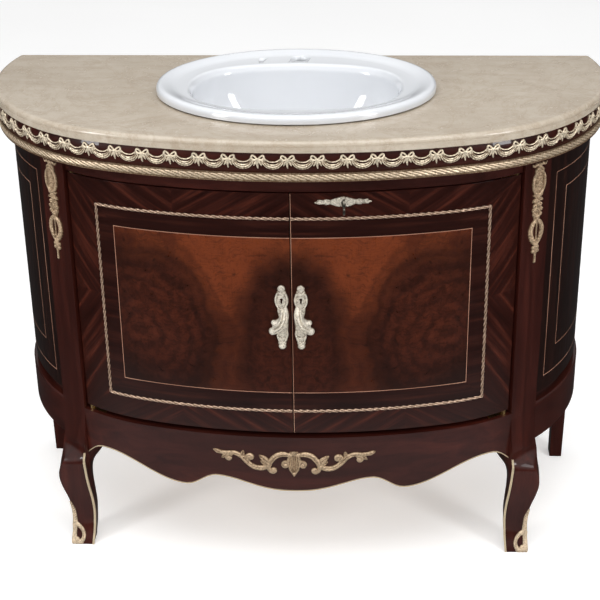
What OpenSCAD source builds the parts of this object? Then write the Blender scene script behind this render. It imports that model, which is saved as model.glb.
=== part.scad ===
// Half-moon washstand: marble top, drop-in oval basin, two bowed doors,
// cabriole front legs and gilt mounts.
// Frame: X to the right, -Y to the front, +Z up. The origin is on the floor,
// under the middle of the marble top. All sizes are in millimetres.

/* [Marble top] */
// Width of the marble at its widest
top_w = 1138; // [1080:1:1200]
// Depth of the marble from the wall to the middle of its front
top_d = 483; // [470:1:510]
// Height of the marble's upper face over the floor
top_h = 880; // [860:1:920]
// Thickness of the marble slab
marble_t = 20; // [18:1:30]
// Radius of the shallow front curve of the marble
front_r = 1078; // [1040:1:1120]
// Radius of the two side curves of the marble
side_r = 350; // [330:1:370]
// Radius of the rounded upper edge of the marble
edge_round = 8; // [5:0.5:10]
// Depth of the small step below that rounded edge
edge_step = 1.2; // [0.5:0.1:2]

/* [Basin] */
// Width of the basin over its rim
basin_w = 506; // [480:1:516]
// Depth of the basin over its rim, front to back
basin_d = 400; // [380:1:410]
// Distance from the wall to the back of the rim
basin_back = 6; // [4:1:12]
// Height of the rim's bead over the marble
rim_h = 17; // [14:1:22]
// Height of the flat deck inside the bead over the marble
deck_h = 11; // [8:1:13]
// Width of the bowl's mouth
bowl_w = 388; // [360:1:396]
// Depth of the bowl's mouth, front to back
bowl_d = 260; // [240:1:266]
// Distance that the bowl sits nearer the front than the rim
bowl_shift = 14; // [8:1:18]
// Depth of the bowl below the deck
bowl_depth = 141; // [120:1:160]
// Thickness of the ceramic
ceramic_t = 12; // [9:0.5:13]
// Radius of the tap hole
tap_r = 17.5; // [16:0.5:18]
// Distance from the back of the rim to the tap hole's centre
tap_back = 52; // [48:1:56]
// Radius of the small second hole
small_hole_r = 6; // [4:0.5:8]
// Distance of the small second hole to the left of the middle
small_hole_x = 73; // [60:1:90]
// Thickness of the sealing bead under the rim
seal_t = 1.5; // [1:0.5:3]

/* [Waste] */
// Outer radius of the waste's threaded tail
waste_r = 20.95; // [20:0.05:22]
// Inner radius of the waste
waste_bore = 17.5; // [15:0.5:18]
// Radius of the plug's seat in the top of the waste
waste_seat_r = 18.6; // [18:0.1:19]
// Radius of the waste's flange
waste_flange_r = 31; // [29:0.5:34]
// Thickness of the waste's flange
waste_flange_t = 3; // [2:0.5:4]
// Length of the waste below the bowl
waste_len = 72; // [60:1:90]
// Height of the back nut
nut_h = 12; // [8:1:16]
// Thickness of the rubber gaskets
gasket_t = 2.5; // [1.5:0.5:4]

/* [Frieze] */
// Height of the cushion frieze with its gilt band
frieze_h = 53; // [48:1:60]
// Depth of the frieze timber
frieze_t = 47; // [42:1:48]
// How far the frieze stands behind the marble's edge
frieze_set = 3; // [2:0.5:5]
// How far the cushion bulges
frieze_bulge = 3.5; // [2:0.5:5]
// Height of the gilt band
band_h = 15; // [12:1:18]
// Thickness of the gilt band
band_t = 3.5; // [2:0.5:5]
// Height of the plain fillet under the gilt band
band_foot = 2; // [1:0.5:4]
// Distance from bow to bow along the frieze
swag_pitch = 50; // [44:1:60]
// Drop of a swag
swag_drop = 14; // [10:1:18]
// Radius of a swag's cord of leaves
swag_r = 2.2; // [1.5:0.1:3]
// Radius of a bow's knot
bow_r = 4.5; // [3:0.5:6]

/* [Cabinet] */
// Width over the two side panels at their widest
body_w = 1104; // [1090:1:1110]
// How far the door faces stand behind the marble's front edge
body_set = 31; // [26:1:36]
// Radius of the side panels
body_side_r = 370; // [350:1:390]
// How far posts, apron and base rails stand proud of the doors
proud = 6; // [4:0.5:8]
// Height of the plain rail over the doors
top_rail_h = 27; // [24:1:32]
// Thickness of rails, apron and doors
frame_t = 22; // [20:1:24]
// Thickness of the side panels
panel_t = 18; // [15:1:20]
// Angle at which a front post starts, from straight ahead
post_from = 36.2; // [34:0.1:37]
// Angle at which a front post ends
post_to = 46.2; // [45:0.1:48]
// Depth of a front post
post_t = 45; // [40:1:50]
// Height of the apron's top edge over the floor
base_h = 297; // [285:1:310]
// Height of the side base rails' lower edge over the floor
rail_low = 216; // [205:1:230]
// Height of the shadow groove over the side base rails
cove_h = 15; // [10:1:20]
// Depth of that groove behind the side panels
cove_t = 9; // [6:1:12]
// Width of a back post
back_post_w = 48; // [44:1:52]
// Depth of a back post
back_post_d = 38; // [32:1:44]
// Distance between the wall and the back posts
back_gap = 2; // [1:0.5:4]
// Thickness of the back panel
back_t = 9; // [6:1:12]
// Thickness of the bottom board
board_t = 18; // [15:1:20]
// Width of the pipe opening in the back panel
pipe_w = 320; // [240:10:360]
// Height of the pipe opening
pipe_h = 220; // [160:10:240]
// Height of the pipe opening's middle over the floor
pipe_z = 540; // [500:10:560]

/* [Apron] */
// Height of the apron's lowest points over the floor
apron_low = 183; // [175:1:195]
// Height of the two inner crests of the apron's edge
apron_crest = 209.5; // [200:0.5:220]
// Distance of those crests from the middle
apron_crest_x = 145; // [135:1:155]
// Distance of the outer low points from the middle
apron_lobe_x = 206; // [195:1:215]
// Height of the outer crests beside the legs
apron_end = 228; // [222:1:236]
// Distance of the outer crests from the middle
apron_end_x = 358; // [345:1:365]
// Thickness of the gilt edge strips
strip_t = 2; // [1.5:0.5:3]
// Width of the gilt edge strips
strip_w = 4; // [3:0.5:6]

/* [Doors] */
// Gap over the doors
door_gap_top = 2.5; // [2:0.5:4]
// Gap under the doors
door_gap_low = 8; // [6:0.5:10]
// Gap beside the doors at the posts
door_gap_side = 3.5; // [3:0.5:5]
// Gap where the doors meet
door_gap_mid = 2; // [1.5:0.5:3]
// Radius of the rope moulding
rope_r = 2.8; // [2:0.2:3.4]
// Distance from the middle to the rope moulding's outer run, along the face
rope_s = 352; // [330:1:356]
// Distance of the rope moulding's upper run below the doors' top edge
rope_top_in = 47; // [40:0.5:62]
// Distance of the rope moulding's lower run above the doors' lower edge
rope_low_in = 46; // [36:0.5:60]
// Radius of the hinge pins
pin_r = 3; // [2.5:0.5:4]
// Distance from a hinge pin to the door's edge and to its face
pin_in = 7; // [6.5:0.5:7]
// Running clearance of pins and stems in their holes
run_fit = 0.06; // [0.03:0.01:0.08]
// Length of the hinge leaves
leaf_l = 40; // [30:1:50]
// Width of the hinge leaves
leaf_w = 12; // [10:1:14]
// Thickness of the hinge leaves
leaf_t = 3; // [2:0.5:4]
// Radius of the ball catches' barrels
catch_r = 4.5; // [4:0.5:6]
// Length of the ball catches' barrels
catch_l = 12; // [10:1:16]
// Distance of the ball catches from the middle
catch_s = 34; // [28:1:40]

/* [Lock] */
// Distance of the lock from the middle, along the face
lock_s = 91; // [85:1:110]
// Distance of the key's axis below the door's top edge
key_drop = 16.5; // [15:0.5:18]
// Width of the lock case
lock_w = 48; // [40:1:60]
// Height of the lock case
lock_h = 38; // [34:1:44]
// Wall of the lock case
lock_wall = 1.5; // [1:0.5:2]
// Width of the bolt
bolt_w = 20; // [16:1:24]
// Thickness of the bolt
bolt_t = 5; // [4:0.5:6]
// Travel of the bolt
bolt_travel = 9; // [7:0.5:10]
// Radius of the key's stem
key_r = 2.5; // [2:0.5:3]
// How far the key stands out of the door
key_out = 33; // [28:1:33]
// Height of the key's bow
bow_h = 28; // [22:1:30]
// Length of the escutcheon
escutcheon_l = 98; // [90:1:104]
// Thickness of the escutcheon
escutcheon_t = 2.5; // [2:0.5:3]

/* [Pulls] */
// Height of a pull's backplate
pull_h = 126; // [115:1:135]
// Width of a pull's backplate
pull_w = 21; // [18:1:24]
// Distance of a pull from the middle, along the face
pull_s = 17; // [15:1:22]
// Distance of a pull's middle below the doors' top edge
pull_drop = 235.5; // [200:0.5:275]
// Thickness of a pull's backplate
pull_t = 3; // [2:0.5:4]
// How far the pull's grip stands out
pull_out = 24; // [18:1:26]

/* [Mounts] */
// Angle of the corner mounts, from straight ahead
corner_at = 41.3; // [40.5:0.1:42]
// Height of the corner mounts
corner_h = 192; // [180:1:200]
// Distance of the corner mounts' tops below the frieze
corner_drop = 15; // [12:1:25]
// Thickness of the corner mounts
corner_t = 6; // [4:0.5:8]
// Half the length of the apron mount, along the face
acanthus_s = 149; // [140:1:155]
// Height of the apron mount's middle over the floor
acanthus_z = 240; // [236:1:246]
// Radius of the apron mount's stems
acanthus_r = 3; // [2:0.5:4]
// Height of the foot mounts
sabot_h = 88; // [75:1:100]
// Thickness of the foot mounts
sabot_t = 1.8; // [1.2:0.2:2.6]

/* [Hidden] */

// ---------------------------------------------------------------- plan curves
// Plane of the wall behind the washstand
back_y = top_d / 2;
// Centre of every front curve, on the middle line
front_cy = back_y + front_r - top_d;

// A half-moon plan: front radius, side radius, x and y of the side centre, and the
// angle from straight ahead at which the front curve runs over into the side curve
function plan_of(half_w, fr, sr) =
    let (sx = half_w - sr, run = sqrt(pow(fr - sr, 2) - sx * sx))
    [fr, sr, sx, front_cy - run, asin(sx / (fr - sr))];

TOP_PLAN = plan_of(top_w / 2, front_r, side_r);
BODY_PLAN = plan_of(body_w / 2, front_r - body_set, body_side_r);

// Point of the plan at angle a, standing o behind the curve
function wall_at(plan, o, a) =
    let (s = a < 0 ? -1 : 1, b = abs(a))
    b <= plan[4]
        ? [s * (plan[0] - o) * sin(b), front_cy - (plan[0] - o) * cos(b)]
        : [s * (plan[2] + (plan[1] - o) * sin(b)), plan[3] - (plan[1] - o) * cos(b)];

// Angle of the point that lies s along the curve from the middle
function angle_at(plan, s) =
    let (front = plan[0] * plan[4] * PI / 180, b = abs(s))
    (s < 0 ? -1 : 1) * (b <= front
        ? b / plan[0] * 180 / PI
        : plan[4] + (b - front) / plan[1] * 180 / PI);

// Angle that a length takes on a side curve
function side_angle(plan, length) = length / plan[1] * 180 / PI;

// Angle at which the curve o behind the plan meets the wall
function end_angle(plan, o) = 90 + asin((back_y - plan[3]) / (plan[1] - o));

// Sweeps a section of [offset, height] points along the right half of the plan. Both
// curves start from the ray on which they meet, so that they join without a seam
module half_wall(plan, section, from, to) {
    turn = plan[4];
    shift = plan[0] - plan[1];
    end = min(to, turn);
    start = max(from, turn);
    translate([0, front_cy, 0])
        rotate([0, 0, turn]) {
            if (from < turn)
                mirror([1, 0, 0])
                    rotate_extrude(start = turn - end - 90, angle = end - from, $fn = 720)
                        polygon([for (p = section) [plan[0] - p[0], p[1]]]);
            if (to > turn)
                translate([0, -shift, 0])
                    rotate_extrude(start = start - turn - 90, angle = to - start, $fn = 360)
                        polygon([for (p = section) [plan[1] - p[0], p[1]]]);
        }
}

module right_of_middle()
    intersection() {
        children();
        translate([0, -2 * top_d, -1])
            cube([top_w, 4 * top_d, 2 * top_h]);
    }

// Sweeps a section between two angles, also across the middle
module wall(plan, section, from, to) {
    if (from >= 0)
        half_wall(plan, section, from, to);
    else {
        right_of_middle()
            half_wall(plan, section, -1, to);
        mirror([1, 0, 0])
            right_of_middle()
                half_wall(plan, section, -1, -from);
    }
}

// Section of a plain wall between two offsets and two heights
function slab(o0, o1, z0, z1) = [[o0, z0], [o1, z0], [o1, z1], [o0, z1]];

// Stands children on the curve: x runs along it, -y points out of it
module place(plan, o, a)
    translate([wall_at(plan, o, a)[0], wall_at(plan, o, a)[1], 0])
        rotate([0, 0, a])
            children();

// Lays a flat shape against the curve, x along it and y upwards
module applied(plan, o, a, t)
    place(plan, o, a)
        rotate([90, 0, 0])
            linear_extrude(t)
                children();

// Keeps what lies in front of the plane y
module in_front_of(y)
    intersection() {
        children();
        translate([-top_w, y - 2 * top_d, -1])
            cube([2 * top_w, 2 * top_d, 2 * top_h]);
    }

// Solid through rings of points that run anticlockwise and follow each other upwards
module loft(rings, closed = false) {
    n = len(rings[0]);
    m = len(rings);
    last = closed ? m : m - 1;
    polyhedron(
        points = [for (r = rings) each r],
        faces = [
            for (k = [0 : last - 1], i = [0 : n - 1])
                let (a = k * n + i, b = k * n + (i + 1) % n)
                let (d = ((k + 1) % m) * n + i, c = ((k + 1) % m) * n + (i + 1) % n)
                each [[a, d, c], [a, c, b]],
            if (!closed) [for (i = [0 : n - 1]) i],
            if (!closed) [for (i = [n - 1 : -1 : 0]) (m - 1) * n + i]
        ]
    );
}

// Smooth step from 0 to 1
function ease(t) = (1 - cos(180 * t)) / 2;

// ---------------------------------------------------------------- heights
marble_low = top_h - marble_t;
frieze_low = marble_low - frieze_h;
band_low = frieze_low + band_foot;
band_high = band_low + band_h;
rail_z = frieze_low - top_rail_h;
door_high = rail_z - door_gap_top;
door_low = base_h + door_gap_low;
rope_high = door_high - rope_top_in;
rope_low = door_low + rope_low_in;
pull_z = door_high - pull_drop;
corner_low = frieze_low - corner_drop - corner_h;

// ---------------------------------------------------------------- marble top
edge_core = 60;
basin_x = basin_w / 2;
basin_y = basin_d / 2;
basin_cy = back_y - basin_back - basin_y;
skirt_in = 27;
cut_gap = 4;

function oval(ax, ay, cy, n = 72) =
    [for (i = [0 : n - 1]) [ax * cos(360 * i / n), cy + ay * sin(360 * i / n)]];

module marble_top() {
    marble_edge = concat(
        [[edge_core, marble_low], [1.5, marble_low], [0, marble_low + 1.5]],
        [[0, top_h - edge_round - edge_step], [edge_step, top_h - edge_round - edge_step]],
        [for (a = [0 : 15 : 90])
            [edge_step + edge_round * (1 - cos(a)), top_h - edge_round + edge_round * sin(a)]],
        [[edge_core, top_h]]
    );
    over = 1;
    end = floor(end_angle(TOP_PLAN, edge_core / 2));
    field = [for (a = [-end : 2 : end]) wall_at(TOP_PLAN, edge_core / 2, a)];
    color("wheat")
        difference() {
            in_front_of(back_y)
                union() {
                    wall(TOP_PLAN, marble_edge, -end - 6, end + 6);
                    translate([0, 0, marble_low])
                        linear_extrude(marble_t)
                            polygon(concat(
                                field,
                                [[TOP_PLAN[2], back_y + 1], [-TOP_PLAN[2], back_y + 1]]
                            ));
                }
            translate([0, 0, marble_low - over])
                linear_extrude(marble_t + 2 * over)
                    polygon(oval(basin_x - skirt_in + cut_gap, basin_y - skirt_in + cut_gap, basin_cy));
        }
}

// ---------------------------------------------------------------- basin
deck_z = top_h + deck_h;
rim_z = top_h + rim_h;
rest_z = top_h + seal_t;
bowl_z = deck_z - bowl_depth;
deck_low = deck_z - 19;
drain_cy = basin_cy - 6;
drain_r = waste_r + 2;

// The bowl's inner wall at u from 0, the flat bottom, to 1, the mouth; out is the
// distance from that wall to the ring asked for
function bowl_ring(u, out) =
    let (s = sin(90 * u), c = cos(90 * u))
    oval(
        40 + (bowl_w / 2 - 44) * s + out * s,
        36 + (bowl_d / 2 - 39) * s + out * s,
        drain_cy - (bowl_shift - 6) * s
    );

function at_height(ring, z) = [for (p = ring) [p[0], p[1], z]];
function bowl_height(u, out) = bowl_z + (bowl_depth - 11) * (1 - cos(90 * u)) - out * cos(90 * u);

// Rim ring that stands in from the rim's outline by w
function rim_ring(w, z) = at_height(oval(basin_x - w, basin_y - w, basin_cy), z);
function mouth_ring(w, z) =
    at_height(oval(bowl_w / 2 + w, bowl_d / 2 + w, basin_cy - bowl_shift), z);

module basin() {
    outside = [for (u = [0 : 0.125 : 0.875])
        at_height(bowl_ring(u, ceramic_t), bowl_height(u, ceramic_t))];
    inside = [for (u = [1 : -0.1 : 0]) at_height(bowl_ring(u, 0), bowl_height(u, 0))];
    drain = oval(20, 20, drain_cy);
    color("white")
        difference() {
            loft(concat(
                [at_height(drain, bowl_z - ceramic_t)],
                outside,
                [mouth_ring(10, deck_low - 6), mouth_ring(12.5, deck_low)],
                [rim_ring(skirt_in, deck_low), rim_ring(skirt_in, rest_z)],
                [rim_ring(2, rest_z), rim_ring(0, rest_z + 1.5), rim_ring(0, rim_z - 8)],
                [rim_ring(1.5, rim_z - 4), rim_ring(4.5, rim_z - 1.2), rim_ring(9, rim_z)],
                [rim_ring(13.5, rim_z - 1.2), rim_ring(17, rim_z - 3.2), rim_ring(21, deck_z + 0.6)],
                [rim_ring(23, deck_z), mouth_ring(6, deck_z)],
                [mouth_ring(2.5, deck_z - 0.8), mouth_ring(0, deck_z - 3)],
                inside,
                [at_height(drain, bowl_z)]
            ), closed = true);
            translate([0, drain_cy, bowl_z - 2 * ceramic_t])
                cylinder(r = drain_r, h = 4 * ceramic_t, $fn = 72);
            translate([0, basin_cy + basin_y - tap_back, deck_low - 5])
                cylinder(r = tap_r, h = 40, $fn = 72);
            translate([-small_hole_x, basin_cy + basin_y - tap_back - 8, deck_low - 5])
                cylinder(r = small_hole_r, h = 40, $fn = 48);
        }
}

module basin_seal() {
    color("gray")
        translate([0, 0, top_h])
            linear_extrude(seal_t)
                difference() {
                    polygon(oval(basin_x - 7, basin_y - 7, basin_cy));
                    polygon(oval(basin_x - 15, basin_y - 15, basin_cy));
                }
}

// ---------------------------------------------------------------- waste
flange_z = bowl_z + gasket_t;
nut_z = bowl_z - ceramic_t - gasket_t - nut_h;
waste_low = bowl_z - ceramic_t - waste_len;
grid_t = 3;
grid_z = bowl_z - 9;

module ring(inner, outer, z, h)
    translate([0, 0, z])
        rotate_extrude($fn = 96)
            translate([inner, 0])
                square([outer - inner, h]);

// Threaded tail with a groove below the nut, a cast grid and the plug's seat over it
module waste_body() {
    root_r = waste_r - 0.6;
    color("silver")
        translate([0, drain_cy, 0]) {
            rotate_extrude($fn = 96)
                polygon([
                    [waste_bore, waste_low], [root_r, waste_low], [waste_r, waste_low + 0.6],
                    [waste_r, nut_z - 3], [root_r, nut_z - 3], [root_r, nut_z - 1], [waste_r, nut_z - 1],
                    [waste_r, flange_z], [waste_flange_r, flange_z],
                    [waste_flange_r, flange_z + waste_flange_t - 1.2],
                    [waste_flange_r - 2, flange_z + waste_flange_t],
                    [waste_seat_r + 2, flange_z + waste_flange_t],
                    [waste_seat_r, flange_z + waste_flange_t - 2], [waste_seat_r, grid_z + grid_t],
                    [waste_bore - 1, grid_z + grid_t], [waste_bore - 1, grid_z], [waste_bore, grid_z]
                ]);
            for (a = [0, 60, 120])
                rotate([0, 0, a])
                    translate([0.5 - waste_bore, -1.5, grid_z])
                        cube([2 * waste_bore - 1, 3, grid_t]);
        }
}

module waste_gaskets() {
    color("dimgray")
        translate([0, drain_cy, 0]) {
            ring(waste_r + 0.3, waste_flange_r - 2, bowl_z, gasket_t);
            ring(waste_r + 0.3, waste_flange_r + 1, bowl_z - ceramic_t - gasket_t, gasket_t);
        }
}

module waste_nut() {
    color("silver")
        translate([0, drain_cy, nut_z])
            difference() {
                linear_extrude(nut_h)
                    polygon([for (a = [0 : 60 : 300]) 30 * [cos(a), sin(a)]]);
                translate([0, 0, -1])
                    cylinder(r = waste_r + 0.05, h = nut_h + 2, $fn = 96);
            }
}

// ---------------------------------------------------------------- frieze
split_at = 41;
seat_in = frieze_set + band_t;
frieze_in = frieze_set + frieze_t;
cushion_z = band_high + 1;
top_end = ceil(end_angle(TOP_PLAN, 0)) + 8;

frieze_section = concat(
    [[frieze_in, frieze_low], [frieze_set + 1, frieze_low], [frieze_set + 1, band_low]],
    [[seat_in, band_low], [seat_in, cushion_z]],
    [for (t = [0.1 : 0.1 : 1])
        [frieze_set + frieze_bulge * (1 - sin(180 * t)), cushion_z + (marble_low - cushion_z) * t]],
    [[frieze_in, marble_low]]
);

band_section = [
    [seat_in, band_low], [frieze_set, band_low], [frieze_set, band_low + 2],
    [frieze_set + 1, band_low + 2.5], [frieze_set + 1, band_high - 2.5],
    [frieze_set, band_high - 2], [frieze_set, band_high], [seat_in, band_high]
];

module frieze_front() {
    color("saddlebrown")
        wall(TOP_PLAN, frieze_section, -split_at, split_at);
}

module frieze_right() {
    color("saddlebrown")
        in_front_of(back_y)
            wall(TOP_PLAN, frieze_section, split_at, top_end);
}

module frieze_left() {
    mirror([1, 0, 0])
        frieze_right();
}

module band_front() {
    color("goldenrod")
        wall(TOP_PLAN, band_section, -split_at, split_at);
}

module band_right() {
    color("goldenrod")
        in_front_of(back_y)
            wall(TOP_PLAN, band_section, split_at, top_end);
}

module band_left() {
    mirror([1, 0, 0])
        band_right();
}

// Swags hang between bows all along the cushion
module garland() {
    run = front_r * TOP_PLAN[4] * PI / 180
        + side_r * (end_angle(TOP_PLAN, frieze_set) - TOP_PLAN[4]) * PI / 180;
    n = floor((run - 12) / swag_pitch);
    half = swag_pitch * 0.4;
    bend = (half * half + swag_drop * swag_drop) / (2 * swag_drop);
    turn = asin(half / bend);
    low = marble_low - 25;
    color("goldenrod") {
        for (k = [-n : n])
            place(TOP_PLAN, frieze_set + 2, angle_at(TOP_PLAN, k * swag_pitch))
                translate([0, 0, low + swag_drop - 1])
                    rotate([90, 0, 0])
                        cylinder(r = bow_r, h = 4, $fn = 36);
        for (k = [-n : n - 1])
            place(TOP_PLAN, frieze_set + 0.5, angle_at(TOP_PLAN, (k + 0.5) * swag_pitch))
                translate([0, 0, low + bend])
                    rotate([90, 0, 0])
                        rotate([0, 0, -90 - turn])
                            rotate_extrude(angle = 2 * turn, $fn = 72)
                                translate([bend, 0])
                                    circle(r = swag_r, $fn = 24);
    }
}

// ---------------------------------------------------------------- hinges and doors
over = 1;
mid_angle = door_gap_mid / 2 / BODY_PLAN[0] * 180 / PI;
door_end = post_from - side_angle(BODY_PLAN, door_gap_side);
hinge_at = door_end - side_angle(BODY_PLAN, pin_in);
lock_at = angle_at(BODY_PLAN, lock_s);
key_z = door_high - key_drop;
pocket_r = pin_r + 1;
plate_t = 1.5;
pin_low = base_h - leaf_t;
pin_high = rail_z + leaf_t;
pin_over = leaf_t + 4;

// Curved hinge leaf between two heights
module leaf(z0, z1)
    wall(
        BODY_PLAN, slab(pin_in - 4.5, pin_in - 4.5 + leaf_w, z0, z1),
        hinge_at - side_angle(BODY_PLAN, leaf_l - 5), hinge_at + side_angle(BODY_PLAN, 5)
    );

module at_hinge(z)
    translate([0, 0, z])
        place(BODY_PLAN, pin_in, hinge_at)
            children();

module at_lock()
    place(BODY_PLAN, 0, lock_at)
        children();

module catch_at(side)
    place(BODY_PLAN, frame_t / 2, angle_at(BODY_PLAN, side * catch_s))
        children();

module top_rail() {
    color("saddlebrown")
        difference() {
            wall(BODY_PLAN, slab(0, frame_t, rail_z, frieze_low), -post_from, post_from);
            leaf(rail_z - over, rail_z + leaf_t);
            mirror([1, 0, 0])
                leaf(rail_z - over, rail_z + leaf_t);
            strike_shapes(over);
            at_lock()
                translate([-bolt_w / 2 - 2, 12.5, rail_z])
                    cube([bolt_w + 4, bolt_t + 3, 12]);
            for (side = [-1, 1])
                catch_at(side)
                    translate([0, 0, rail_z])
                        cylinder(r = 2.4, h = 4, $fn = 36);
        }
}

module upper_stop() {
    stop_in = frame_t + 0.5;
    stop_to = hinge_at - side_angle(BODY_PLAN, 16);
    color("peru")
        wall(
            BODY_PLAN,
            [[stop_in, rail_z - 15], [frame_t * 2, rail_z - 15], [frame_t * 2, frieze_low],
                [frame_t, frieze_low], [frame_t, rail_z], [stop_in, rail_z]],
            -stop_to, stop_to
        );
}

module lower_stop() {
    stop_in = frame_t + 0.5;
    stop_to = hinge_at - side_angle(BODY_PLAN, 16);
    color("peru")
        wall(BODY_PLAN, slab(stop_in, frame_t * 2, base_h, base_h + 13), -stop_to, stop_to);
}

module frame_hinges() {
    color("gold") {
        union() {
            leaf(rail_z, pin_high);
            at_hinge(door_high - pin_over + 0.5)
                cylinder(r = pin_r, h = pin_high - door_high + pin_over - 0.5, $fn = 48);
        }
        union() {
            leaf(pin_low, base_h);
            at_hinge(pin_low)
                cylinder(r = pin_r, h = door_low + pin_over - pin_low, $fn = 48);
        }
    }
}

module hinge_frames_right() {
    frame_hinges();
}

module hinge_frames_left() {
    mirror([1, 0, 0])
        frame_hinges();
}

module hinge_collars() {
    play = 0.3;
    color("gold")
        for (side = [0, 1])
            mirror([side, 0, 0])
                at_hinge(0) {
                    ring(pin_r + run_fit, pin_r + 3, base_h, door_gap_low - play);
                    ring(pin_r + run_fit, pin_r + 3, door_high + play, door_gap_top - play);
                }
}

module door_hinges() {
    color("gold")
        difference() {
            union() {
                leaf(door_high - leaf_t, door_high);
                leaf(door_low, door_low + leaf_t);
            }
            at_hinge(door_low - over)
                cylinder(r = pin_r + run_fit, h = door_high - door_low + 2 * over, $fn = 48);
        }
}

module hinge_leaves_right() {
    door_hinges();
}

module hinge_leaves_left() {
    mirror([1, 0, 0])
        door_hinges();
}

// The plates let into the rail; extra deepens them downwards for the recesses
module strike_shapes(extra) {
    at_lock()
        translate([-bolt_w, 9.5, rail_z - extra])
            cube([2 * bolt_w, 12, plate_t + extra]);
    for (side = [-1, 1])
        catch_at(side)
            translate([-12, -6, rail_z - extra])
                cube([24, 12, plate_t + extra]);
}

module strike_plates() {
    color("gold")
        difference() {
            strike_shapes(0);
            at_lock()
                translate([-bolt_w / 2 - 2, 12.5, rail_z - over])
                    cube([bolt_w + 4, bolt_t + 3, plate_t + 2 * over]);
            for (side = [-1, 1])
                catch_at(side)
                    translate([0, 0, rail_z - over])
                        cylinder(r = 2.4, h = plate_t + 2 * over, $fn = 36);
        }
}

// A door without its lock, on the right
module door_leaf() {
    difference() {
        wall(BODY_PLAN, slab(0, frame_t, door_low, door_high), mid_angle, door_end);
        leaf(door_high - leaf_t, door_high + over);
        leaf(door_low - over, door_low + leaf_t);
        at_hinge(door_high - pin_over - 0.5)
            cylinder(r = pocket_r, h = pin_over, $fn = 48);
        at_hinge(door_low)
            cylinder(r = pocket_r, h = pin_over + 1, $fn = 48);
        catch_at(1)
            translate([0, 0, door_high - catch_l])
                cylinder(r = catch_r, h = catch_l + over, $fn = 48);
    }
}

module door_left() {
    color("sienna")
        mirror([1, 0, 0])
            door_leaf();
}

module door_right() {
    color("sienna")
        difference() {
            door_leaf();
            at_lock() {
                translate([-lock_w / 2, lock_in - 0.3, door_high - lock_h])
                    cube([lock_w, frame_t, lock_h + over]);
                translate([0, frame_t / 2, key_z])
                    rotate([90, 0, 0])
                        cylinder(r = key_r * 2, h = frame_t, $fn = 48);
                translate([-key_r, -over, key_z - 9])
                    cube([2 * key_r, frame_t / 2, 9]);
            }
        }
}

// Half-round moulding in three lengths: upper and lower run and the outer upright
module rope() {
    rope_at = angle_at(BODY_PLAN, rope_s);
    half = side_angle(BODY_PLAN, rope_r);
    joint = side_angle(BODY_PLAN, 0.2);
    color("goldenrod") {
        for (z = [rope_low, rope_high])
            wall(
                BODY_PLAN,
                [for (a = [-90 : 18 : 90]) [-rope_r * cos(a), z + rope_r * sin(a)]],
                2 * mid_angle, rope_at - half - joint
            );
        wall(
            BODY_PLAN,
            slab(-rope_r - 0.3, 0, rope_low - rope_r - 0.4, rope_high + rope_r + 0.4),
            rope_at - half, rope_at + half
        );
    }
}

module rope_right() {
    rope();
}

module rope_left() {
    mirror([1, 0, 0])
        rope();
}

module ball_catch() {
    color("silver")
        catch_at(1) {
            translate([0, 0, door_high - catch_l])
                cylinder(r = catch_r, h = catch_l, $fn = 48);
            translate([0, 0, door_high - 1.3])
                sphere(r = 3.2, $fn = 48);
        }
}

module ball_catch_right() {
    ball_catch();
}

module ball_catch_left() {
    mirror([1, 0, 0])
        ball_catch();
}

// ---------------------------------------------------------------- lock
lock_in = 9.3;
lock_low = door_high - lock_h;
bolt_in = 14;

// Keyhole that runs from the face inwards
module keyhole(r, slot, from, to)
    translate([0, to, key_z])
        rotate([90, 0, 0]) {
            cylinder(r = r, h = to - from, $fn = 48);
            translate([-slot / 2, -9, 0])
                cube([slot, 9, to - from]);
        }

module lock_case() {
    inner = lock_w - 2 * lock_wall;
    color("goldenrod")
        at_lock()
            difference() {
                translate([-lock_w / 2, lock_in, lock_low])
                    cube([lock_w, frame_t - lock_in, lock_h]);
                translate([-inner / 2, lock_in + lock_wall, lock_low + lock_wall])
                    cube([inner, frame_t - lock_in - 2 * lock_wall, lock_h - 2 * lock_wall]);
                translate([-bolt_w / 2 - 0.3, bolt_in - 0.3, door_high - 2 * lock_wall])
                    cube([bolt_w + 0.6, bolt_t + 0.6, 3 * lock_wall]);
                keyhole(key_r + run_fit, 2.8, lock_in - over, lock_in + lock_wall + 0.1);
            }
}

module lock_bolt() {
    color("gold")
        at_lock()
            translate([-bolt_w / 2, bolt_in, door_high - 0.5 - 29])
                difference() {
                    cube([bolt_w, bolt_t, 29]);
                    translate([bolt_w / 2 - 3, -over, 4])
                        cube([6, bolt_t + 2 * over, 5]);
                }
}

module key() {
    tip = lock_in + lock_wall + 2.6;
    color("silver")
        at_lock()
            translate([0, 0, key_z]) {
                translate([0, tip, 0])
                    rotate([90, 0, 0])
                        cylinder(r = key_r, h = tip + key_out - bow_h / 3, $fn = 48);
                translate([-1.2, tip - 2.3, -8])
                    cube([2.4, 2.3, 8]);
                translate([0, -11, 0])
                    rotate([90, 0, 0])
                        cylinder(r = key_r + 1.2, h = 3, $fn = 48);
                rotate([90, 0, 90])
                    translate([0, 0, -1.6])
                        linear_extrude(3.2)
                            difference() {
                                union() {
                                    for (side = [-1, 1])
                                        translate([-key_out + bow_h * 0.3, side * bow_h * 0.2])
                                            circle(r = bow_h * 0.3, $fn = 48);
                                }
                                for (side = [-1, 1])
                                    translate([-key_out + bow_h * 0.3, side * bow_h * 0.22])
                                        circle(r = bow_h * 0.15, $fn = 36);
                            }
            }
}

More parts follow.
